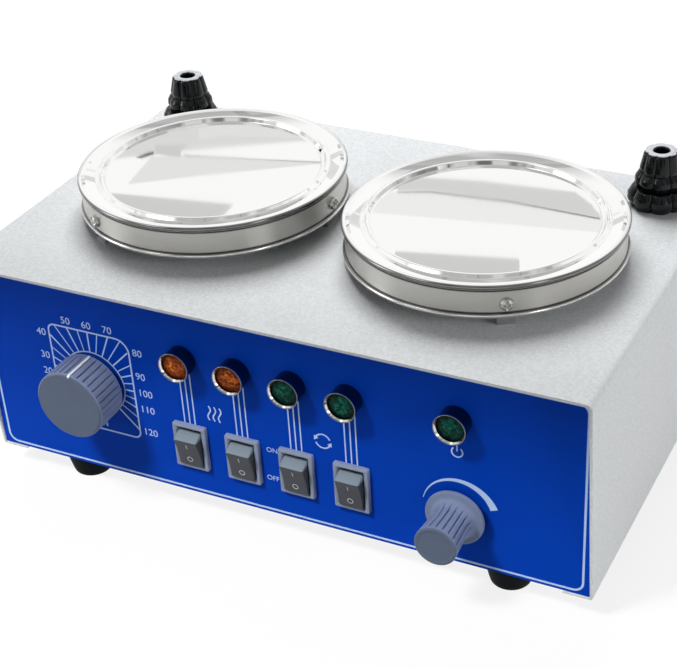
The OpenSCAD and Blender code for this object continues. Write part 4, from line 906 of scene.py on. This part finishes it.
def lenses():
    """Lenses of each colour; every corner keeps its distance from its lamp's axis, as a share of the
    lens's radius, for the tint's painted light in the middle and painted shade at the edge."""
    for name, tint, places in (("orange", ORANGE, LAMPS[:2]), ("green", GREEN, LAMPS[2:])):
        skins = [on_panel(lens_skin(), x, z) for x, z in places]
        made = piece("faceted_lens_" + name, skins, tint, "lens_" + name,
                     stands_for=[name + "_lenses"], crease=4)
        spots = np.empty(3 * len(made.data.vertices))
        made.data.vertices.foreach_get("co", spots)
        spots = spots.reshape(-1, 1, 3) / MM
        away = np.hypot(spots[..., 0] - [x for x, z in places], spots[..., 2] - [z for x, z in places])
        distance = made.data.attributes.new("axis_distance", "FLOAT", "POINT")
        distance.data.foreach_set("value", away.min(1) / LENS_R)


# Rod clamps

def lobes(depth):
    """Grip lobes: the radius drops between lobes by depth, as 1 - |cos(lobes / 2 * angle)| to a low power,
    which leaves round lobes and narrow valleys; the core stays round."""
    core_r, power = 6.0, 0.55

    def waves(r, h, angle):
        valley = 1 - abs(np.cos(CLAMP_LOBES / 2 * (angle + np.pi / CLAMP_LOBES))) ** power
        return -depth * valley * (r > core_r)
    return waves


def tier(z0, z1, low_r, wide_r, top_r, depth):
    """One lobed tier from z0 to z1: narrow foot, widest in its middle third, round upper edge."""
    third = 0.35 * (z1 - z0)
    profile = rounded([
        (ROD_BORE_R, z0), (low_r, z0, 0.4), (wide_r, z0 + third, 1.0), (wide_r - 0.2, z1 - third, 0.8),
        (top_r, z1, 0.9), (5.2, z1), (ROD_BORE_R, z1)])
    return turned(profile, 192, lobes(depth))


def rod_clamps():
    """Rod clamps, turned about the rod's hole: a lobed base tier with a hollow stem, and on it a nut with
    a lobed grip, widened inside to clear the stem, and a lobed cone."""
    low, high, bore, top = CASE_TOP - 13.2, CASE_TOP + 20, ROD_BORE_R, CLAMP_TOP
    stem = [(bore, low), (STEM_R, low), (STEM_R, high), (bore, high)]
    cone_z = NUT_FOOT + 6.4
    crown = rounded([
        (THREAD_R, NUT_FOOT + 3), (8.2, cone_z - 0.8, 0.4), (8.5, cone_z + 1.6, 0.8), (7.1, top - 1.0, 0.8),
        (6.5, top, 0.5), (bore + 0.7, top, 0.2), (bore, top - 0.7, 0.2), (bore, top - 2.4),
        (THREAD_R, top - 2.4)])
    base = tier(CASE_TOP, CASE_TOP + 8.2, 11.4, 13.0, 11.2, 1.5)
    grip = tier(NUT_FOOT, cone_z, 9.2, 10.3, 8.8, 1.2)
    inside = np.hypot(grip[..., 0], grip[..., 1]) < THREAD_R
    clear = (THREAD_R + 0.01) / bore
    grip = np.where(inside[..., None], grip * (clear, clear, 1), grip)
    for side, x in (("left", -CLAMP_X), ("right", CLAMP_X)):
        lower, upper = ([grid(skin + (x, CLAMP_Y, 0), loop=True) for skin in skins]
                        for skins in ((base, turned(stem, 48)), (grip, turned(crown, 192, lobes(0.8)))))
        piece("clamp_base_" + side, lower, BLACK, "black_plastic", stands_for=["rod_clamp_" + side])
        piece("clamp_nut_" + side, upper, BLACK, "black_plastic", "clamp_nut_" + side,
              ["rod_clamp_nut_" + side])


# Rear fittings

def rear_fittings():
    """Turned pieces on the rear wall: the fuse socket; its fluted cap, with a screwdriver slot pressed into
    the end where the distance to the x axis is small; and the cord's rubber grommet."""
    holder = rounded([
        (0, -32), (6.5, -32), (6.5, 0), (8.5, 0), (8.5, 1.6, 0.5), (7.6, 2.0, 0.3), (4.05, 2.0),
        (4.05, -22), (0, -22)])
    piece("fuse_socket", [on_rear(turned(holder, 72), FUSE_X, FUSE_Z)], DULL_BLACK, "black_plastic",
          stands_for=["fuse_holder"])

    cap_r, cap_end, stalk_r, stalk_end, slot_w, slot_r, slot_d = 7.0, 14.3, 4, -21.7, 0.75, 5.0, 1.2
    cap = np.concatenate([
        rounded([(2.75, stalk_end), (stalk_r, stalk_end), (stalk_r, 2.3), (6.8, 2.3), (cap_r, 2.8, 0.3),
                 (cap_r, 3.1)]),
        [(cap_r, k) for k in np.linspace(3.4, 12.4, 12)],
        rounded([(cap_r, 12.8), (cap_r, cap_end, 0.8), (5.6, cap_end)]),
        [(k, cap_end) for k in np.linspace(5.4, 0, 12)]])
    grooves = flutes(24, depth=0.45, low=3.4, high=12.9, sharp=2)
    x, y, z = np.moveaxis(turned(cap, 192, grooves), -1, 0)
    slot = np.clip((slot_w - abs(y)) / 0.2, 0, 1) * np.clip((slot_r - abs(x)) / 0.3, 0, 1) * (z > 14)
    skin = np.stack([x, y, z - slot_d * slot], -1)
    piece("fuse_drawer", [on_rear(skin, FUSE_X, FUSE_Z)], DULL_BLACK, "black_plastic", "fuse_carrier",
          ["fuse_cap"])

    bore, neck, wide = 3.5, 6.5, 9.5
    gland = rounded([
        (bore, -6.2, 0.6), (wide, -6.2, 0.8), (wide, -1.2, 0.4), (neck, -1.2), (neck, 0), (wide, 0, 0.4),
        (wide, 1.6, 0.6), (7.4, 5.0, 1.0), (bore, 5.0, 0.8)], closed=True)
    piece("cord_grommet", [on_rear(turned(gland, 72), GLAND_X, GLAND_Z, True)], RUBBER, "black_rubber",
          stands_for=["cord_gland"])


# Print on the panel

DIAL_W, DIAL_H = 19.0, 23.55
DIAL_Z = 55.35
DIAL_R = 14.4
MINUTE = math.radians(2.25)
FIGURE_H, WORD_H = 4.6, 3.2


def dial_edge(angle):
    """Point where a ray from the timer's axis meets the dial's frame, angle clockwise from the top."""
    way = np.array([math.sin(angle), math.cos(angle)])
    tall = DIAL_H + (DIAL_Z - TIMER_Z) * np.sign(way[1])
    return way * min(DIAL_W / max(abs(way[0]), 1e-9), tall / max(abs(way[1]), 1e-9))


def dial_lines():
    """The timer's scale: a frame with round corners, an arc round the knob, and a mark each five minutes,
    shorter where it runs into a round corner."""
    shorter = {40: 0.2, 80: 0.9}
    skins = [inked(corner_path(DIAL_W, DIAL_H, (6, 3, 3, 3)), 0.7, TIMER_X, DIAL_Z, True)]
    arc = np.linspace(-60, 60, 90) * MINUTE
    skins.append(inked(DIAL_R * np.stack([np.sin(arc), np.cos(arc)], -1), INK_W, TIMER_X, TIMER_Z))
    for minute in range(0, 121, 5):
        a = (minute - 60) * MINUTE
        way = np.array([math.sin(a), math.cos(a)])
        reach = np.hypot(*dial_edge(a)) - 0.2 - shorter.get(minute, 0)
        width = 0.62 if minute % 10 == 0 else 0.45
        skins.append(inked([way * DIAL_R, way * reach], width, TIMER_X, TIMER_Z))
    return skins


def border_line():
    """Line round the panel near its edge, corners rounded."""
    low, high = 13.0, 97.5
    return [inked(corner_path(130, (high - low) / 2, 4), 0.9, 0, (low + high) / 2, True)]


def lamp_leads():
    """Three thin lines that join each lamp to the switch below it."""
    lead = [(0, LAMP_Z - LAMP_D / 2 + 0.6), (0, KEY_Z + KEY_H / 2 - 0.3)]
    return [inked(lead, 0.55, x + k * 2.4, 0) for x in COLUMNS for k in (-1, 0, 1)]


def speed_wedge():
    """Rising-speed mark: an arc over the knob that grows wider clockwise."""
    share = np.linspace(0, 1, 60)
    path = (14.6 + 0.9 * share)[:, None] * circle(np.radians(167 - 147 * share))
    return [inked(path, 0.25 + 2.9 * share ** 1.3, SPEED_X, SPEED_Z)]


def function_signs():
    """Plain signs between the switches: three wavy lines for heat, a ring of two arrows for stirring, and
    a broken circle with a bar by the power lamp."""
    skins = []
    t = np.linspace(-1, 1, 24)
    heat_x, stir_x, sign_z = (COLUMNS[0] + COLUMNS[1]) / 2, (COLUMNS[2] + COLUMNS[3]) / 2, KEY_Z + 18
    for k in (-1, 0, 1):
        wave = np.stack([0.7 * np.sin(t * np.pi) + 2.4 * k, 3.4 * t], -1)
        skins.append(inked(wave, INK_W, heat_x, sign_z))
    for start in (20, 200):
        a = np.radians(start + np.linspace(0, 130, 24))
        arc = 3.2 * circle(a)
        ahead = np.array([-math.sin(a[-1]), math.cos(a[-1])])
        skins.append(inked(arc, INK_W, stir_x, sign_z))
        skins.append(inked([arc[-1], arc[-1] + 1.9 * ahead], (2.1, 0.05), stir_x, sign_z))
    ring = 2.2 * circle(np.radians(90 + np.linspace(40, 320, 40)))
    skins.append(inked(ring, INK_W, SPEED_X, POWER_SIGN_Z))
    skins.append(inked([(0, 0.3), (0, 3.0)], INK_W, SPEED_X, POWER_SIGN_Z))
    return skins


def label_mesh(words, size, x, z):
    """Letters or figures as a flat mesh, centred on (x, z) of the panel."""
    curve = bpy.data.curves.new("label", "FONT")
    curve.body = words
    curve.size = size * MM
    curve.align_x, curve.align_y = "CENTER", "CENTER"
    curve.extrude = PRINT_T / 2 * MM
    holder = linked("label", curve)
    bpy.context.view_layer.update()
    mesh = bpy.data.meshes.new_from_object(holder.evaluated_get(bpy.context.evaluated_depsgraph_get()))
    bpy.data.objects.remove(holder)
    place = Matrix.Translation((x * MM, (FRONT - PRINT_T / 2) * MM, z * MM))
    mesh.transform(place @ Matrix.Rotation(math.pi / 2, 4, "X"))
    return mesh


def joined(name, meshes):
    """Several meshes as one, with doubled corners merged."""
    sheet = bmesh.new()
    for mesh in meshes:
        sheet.from_mesh(mesh)
        bpy.data.meshes.remove(mesh)
    bmesh.ops.remove_doubles(sheet, verts=sheet.verts, dist=1e-6)
    made = bpy.data.meshes.new(name)
    sheet.to_mesh(made)
    sheet.free()
    return made


def panel_print():
    """Ink on the panel: the lines and signs, the minutes outside the dial's frame, and ON and OFF."""
    piece("dial_scale", dial_lines(), INK, "panel_blue")
    piece("panel_lines", border_line() + lamp_leads() + speed_wedge() + function_signs(), INK, "panel_blue")
    words = []
    for minute in range(0, 121, 10):
        edge = dial_edge((minute - 60) * MINUTE)
        wide = 0.27 * FIGURE_H * len(str(minute))
        if 45 <= minute <= 75:
            x, z = edge[0], edge[1] + 0.65 * FIGURE_H
        else:
            x, z = edge[0] + math.copysign(wide + 1.4, edge[0]), edge[1]
        words.append(label_mesh(str(minute), FIGURE_H, TIMER_X + x, TIMER_Z + z))
    words.append(label_mesh("ON", 3.6, TIMER_X + 0.6, DIAL_Z - DIAL_H + 3.0))
    words.append(label_mesh("ON", WORD_H, COLUMNS[2] - KEY_W / 2 - 3.6, KEY_Z + 7.2))
    words.append(label_mesh("OFF", WORD_H, COLUMNS[2] - KEY_W / 2 - 4.2, KEY_Z - 6.6))
    placed("panel_figures", joined("panel_figures", words), INK)


# CAD nodes that stay as they are, each with its finish

CAD_FINISH = {
    PAINT: ["chassis"],
    FILM: ["front_panel"],
    STEEL: ["foot_screws", "bottom_screws", "heater_nuts", "spacer_screws", "motor_screws", "timer_screws",
            "speed_control_nut", "lamp_nuts", "rod_clamp_lock_nuts"],
    ZINC: ["plate_brackets", "heater_clamp_discs", "motor_plates"],
    MICA: ["mica_heater_left", "mica_heater_right"],
    FIBRE: ["insulation_pads"],
    MOTOR: ["stir_motor_left", "stir_motor_right", "speed_control", "magnet_carrier_left",
            "magnet_carrier_right"],
    BRASS: ["motor_spacers"],
    SHAFT: ["motor_shaft_left", "motor_shaft_right", "timer_shaft", "speed_shaft"],
    MAGNET: ["magnets_left", "magnets_right"],
    NYLON: ["timer_body", "board_posts", "terminal_block"],
    CORE: ["transformer"],
    BOARD: ["control_board"],
    GLASS: ["fuse"],
}


def dress_cad_nodes():
    """Gives each CAD node that stays its finish."""
    for finish, names in CAD_FINISH.items():
        for name in names:
            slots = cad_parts[name].data.materials
            slots.clear()
            slots.append(finish)


# Stage, light and camera

def soft_light(name, place, aim, size, watts):
    """A square soft box at place, in metres, turned towards aim; reflections don't show it."""
    light = bpy.data.lights.new(name, "AREA")
    light.size = size
    light.energy = watts
    made = linked(name, light)
    made.location = place
    made.rotation_euler = (Vector(aim) - Vector(place)).to_track_quat("-Z", "Y").to_euler()
    made.visible_camera = made.visible_glossy = False


def flat_sheet(name, corners, finish):
    """A flat stage sheet with these corners, in metres."""
    mesh = bpy.data.meshes.new(name)
    mesh.from_pydata(corners, [], [tuple(range(len(corners)))])
    mesh.materials.append(finish)
    made = linked(name, mesh)
    return made


def floor_white():
    """White floor: the camera and reflections see it nearly white round the object, where the shadow stays
    on it, and plain white farther out."""
    made, w = new_tree("floor_white")
    seen = w.math("MAXIMUM", w.ray("Camera"), w.math("MAXIMUM", w.ray("Glossy"), w.ray("Transmission")))
    matt = made.node_tree.nodes["Principled BSDF"]
    w.feed(matt.inputs["Base Color"], w.mix(seen, (0.25, 0.25, 0.25), (0.9, 0.9, 0.9)))
    w.feed(matt.inputs["Roughness"], 0.9)
    w.feed(matt.inputs["Specular IOR Level"], 0.0)
    away = w.vector("LENGTH", w.node("TexCoord", out="Object"), out="Value")
    share = seen * (0.84 + 0.16 * w.step(away, 0.35, 1.2))
    w.show(w.blend(share, Wire(w.tree, matt.outputs[0]), w.glow(WHITE)))
    return made


def card(name, grey):
    """Plain card that reflections show at that grey."""
    made, w = new_tree(name)
    w.show(w.glow((grey, grey, grey)))
    return made


def mirrored_only(made):
    """Keeps a card out of sight but for reflections."""
    made.visible_camera = made.visible_diffuse = made.visible_shadow = False


def front_flag():
    """Flag between the high front light and the case: its lower edge lies on the line from the eave to the
    light, so the panel is lit, softly less near the eave, and the top is not. Nothing sees it."""
    low, high = (-0.159, 0.208), (0.011, 0.306)
    places = [(-0.23, *low), (0.18, *low), (0.18, *high), (-0.23, *high)]
    flag = flat_sheet("front_flag", places, card("flag_black", 0.0))
    flag.visible_camera = flag.visible_diffuse = flag.visible_glossy = flag.visible_transmission = False


def reflection_cards():
    """Grey and dark cards far behind the object, for the mirror floors of the plates to show; nothing else
    sees them. Corners are (x, z) in metres, in turn round the card. Each card stands a step nearer than the
    last one, and lower by its side's drop."""
    cards_y, step, drops = 1.5, 0.004, {"left": 0.015, "right": 0.034}
    cards = [
        ("band_left", 0.76, [
            (-1.05, 0.934), (-1.006, 0.914), (-0.885, 0.902), (-0.80, 0.910), (-1.005, 0.938),
            (-1.05, 0.953)]),
        ("wedge_left", 0.78, [
            (-1.20, 1.057), (-1.145, 0.997), (-1.076, 0.981), (-0.947, 0.966), (-0.80, 0.947),
            (-1.06, 1.017)]),
        ("line_left", 0.40, [
            (-1.076, 0.980), (-0.946, 0.965), (-0.80, 0.946), (-0.80, 0.948), (-1.076, 0.982)]),
        ("low_left", 0.62, [(-1.25, 1.077), (-0.99, 1.052), (-1.05, 1.12), (-1.25, 1.12)]),
        ("streak_left", 0.05, [
            (-1.146, 0.942), (-1.098, 0.924), (-1.023, 0.906), (-1.069, 0.923), (-1.14, 0.946)]),
        ("speck_left", 0.10, [(-0.937, 0.890), (-0.923, 0.880), (-0.907, 0.880), (-0.921, 0.888)]),
        ("patch_left", 0.62, [
            (-1.123, 0.979), (-1.119, 0.963), (-1.054, 0.950), (-1.07, 0.964), (-1.075, 0.976)]),
        ("blot_left", 0.06, [
            (-1.159, 0.990), (-1.132, 0.976), (-1.12, 0.972), (-1.123, 0.978), (-1.148, 0.989)]),
        ("pale_right", 0.86, [
            (-0.80, 1.034), (-0.30, 0.984), (-0.30, 0.955), (-0.498, 0.963), (-0.625, 0.970),
            (-0.80, 1.008)]),
        ("band_right", 0.66, [
            (-0.70, 0.960), (-0.64, 0.949), (-0.545, 0.938), (-0.40, 0.930), (-0.375, 0.945),
            (-0.36, 0.963), (-0.498, 0.961), (-0.624, 0.967), (-0.68, 0.978)]),
        ("line_right", 0.25, [
            (-0.68, 0.978), (-0.624, 0.967), (-0.498, 0.960), (-0.36, 0.962), (-0.36, 0.965),
            (-0.498, 0.963), (-0.625, 0.970), (-0.68, 0.980)]),
        ("low_right", 0.62, [
            (-0.685, 1.080), (-0.497, 1.054), (-0.481, 1.052), (-0.481, 1.12), (-0.70, 1.12)]),
        ("streak_right", 0.10, [
            (-0.627, 0.905), (-0.608, 0.893), (-0.557, 0.876), (-0.535, 0.882), (-0.56, 0.892),
            (-0.592, 0.901)]),
        ("speck_right", 0.30, [
            (-0.514, 0.882), (-0.483, 0.874), (-0.438, 0.880), (-0.396, 0.899), (-0.444, 0.889),
            (-0.483, 0.884)]),
    ]
    for k, (name, grey, corners) in enumerate(cards):
        drop = drops[name.split("_")[1]]
        places = [(x, cards_y - step * k, z - drop) for x, z in corners]
        mirrored_only(flat_sheet("card_" + name, places, card("card_" + name, grey)))


def soft_glow(name, strength):
    """Lit fabric whose light fades out where the sheet's own fade attribute falls to 0."""
    made, w = new_tree(name)
    share = w.node("Attribute", {"attribute_name": "fade"}, None, "Fac")
    w.show(w.blend(w.step(share, 0.0, 1.0), w.node("BsdfTransparent"), w.glow(WHITE, strength)))
    return made


def lit_fabric(name, middle, across, up, strength):
    """A lit sheet that only reflections see: three by three points, the middle one plus or minus the half
    sides across and up, bright in the middle and fading to the edges."""
    a, b = np.meshgrid([-1, 0, 1], [-1, 0, 1])
    points = np.array(middle) + a[..., None] * across + b[..., None] * up
    corners, faces = grid(points, ring=False)
    mesh = bpy.data.meshes.new(name)
    mesh.from_pydata(corners.tolist(), [], faces.tolist())
    fade = mesh.attributes.new("fade", "FLOAT", "POINT")
    fade.data.foreach_set("value", (np.arange(9) == 4).astype(float))
    mesh.materials.append(soft_glow(name, strength))
    made = linked(name, mesh)
    mirrored_only(made)


def lit_sheets():
    """Upright strips in front, left and right, draw the satin streaks on the plates' skirts; a sheet high
    in front on the left puts the bright spots on the lamp rings and the rocker tips."""
    strips = (("strip_right", 1.20, -0.60, 0.26, 4), ("strip_left", -1.20, -0.66, 0.40, 8))
    for name, x, y, half, strength in strips:
        side = np.array([-y, x, 0]) / math.hypot(x, y)
        lit_fabric(name, (x, y, 0.48), half * side, np.array([0, 0, 0.47]), strength)
    middle = np.array([-0.67, -0.80, 1.25])
    side = np.array([0.80, -0.67, 0]) / math.hypot(0.80, 0.67)
    lit_fabric("sparkle", middle, 0.5 * side, 0.5 * np.cross(side, middle) / np.linalg.norm(middle), 3.5)


def surroundings():
    """Studio room: white to the camera and even on the object. Reflections see light panels with thin gaps,
    bright overhead and behind, and a dim room with a few pale patches towards the front."""
    world = bpy.data.worlds.new("studio")
    bpy.context.scene.world = world
    world.use_nodes = True
    w = Wire(world.node_tree)
    way = w.node("TexCoord", out="Generated")
    right, back, up = (w.part(way, k) for k in range(3))
    open_side = w.step(0.75 * up + 0.40 * back - 0.22 * right, -0.15, 0.55)
    open_side = open_side * (1.0 - 0.52 * w.step(up, 0.62, 0.80))
    panel_at = w.node("CombineXYZ", None, {"X": w.math("ARCTAN2", back, right), "Y": w.math("ARCSINE", up)})
    gaps = w.node("TexBrick", {"offset": 0.5}, {
        "Vector": panel_at, "Scale": 1.0, "Brick Width": 0.9, "Row Height": 0.42, "Mortar Size": 0.02,
        "Color1": WHITE, "Color2": (0.9, 0.9, 0.9), "Mortar": (0.7, 0.7, 0.7)})
    room, dark, pale, full = (w.glow(WHITE, k, "Background") for k in (0.045, 0.03, 0.55, 1.0))
    dim = w.blend(w.step(w.noise(way, 350, 2), 0.46, 0.60), dark, pale)
    mirror = w.blend(open_side * gaps, dim, full)
    inner = w.blend(w.math("MAXIMUM", w.ray("Glossy"), w.ray("Transmission")), room, mirror)
    outer = w.blend(w.ray("Camera"), inner, full)
    w.feed(world.node_tree.nodes["World Output"].inputs["Surface"], outer)


def camera():
    """Camera at the photograph's viewing angle."""
    lens = bpy.data.cameras.new("camera")
    lens.sensor_width = 36
    lens.lens = 86.2
    lens.shift_x, lens.shift_y = -0.06, 0.06
    made = linked("camera", lens)
    made.location = (0.27188, -0.51566, 0.41676)
    made.rotation_euler = Euler([math.radians(k) for k in (56.473, 2.3379, 25.25)], "XYZ")
    bpy.context.scene.camera = made


bpy.context.scene.view_settings.view_transform = "Standard"
surroundings()
flat_sheet("floor", [(-4, -4, 0), (4, -4, 0), (4, 4, 0), (-4, 4, 0)], floor_white())
soft_light("key", (-0.45, 0.75, 1.22), (0, 0, 0.08), 0.9, 24.5)
soft_light("high_front", (-0.45, -0.82, 1.36), (0, -0.10, 0.06), 0.30, 26)
soft_light("front_fill", (-0.50, -1.60, 0.30), (0, 0, 0.06), 1.0, 4.5)
soft_light("right_fill", (1.65, -0.30, 0.32), (0, 0, 0.06), 1.0, 18)
front_flag()
reflection_cards()
lit_sheets()
camera()

cover_sheet()
rubber_feet()
heating_plates()
plate_screws()
timer_knob()
speed_knob()
switch_bezels()
rockers()
pilot_lamps()
lenses()
rod_clamps()
rear_fittings()
panel_print()
dress_cad_nodes()
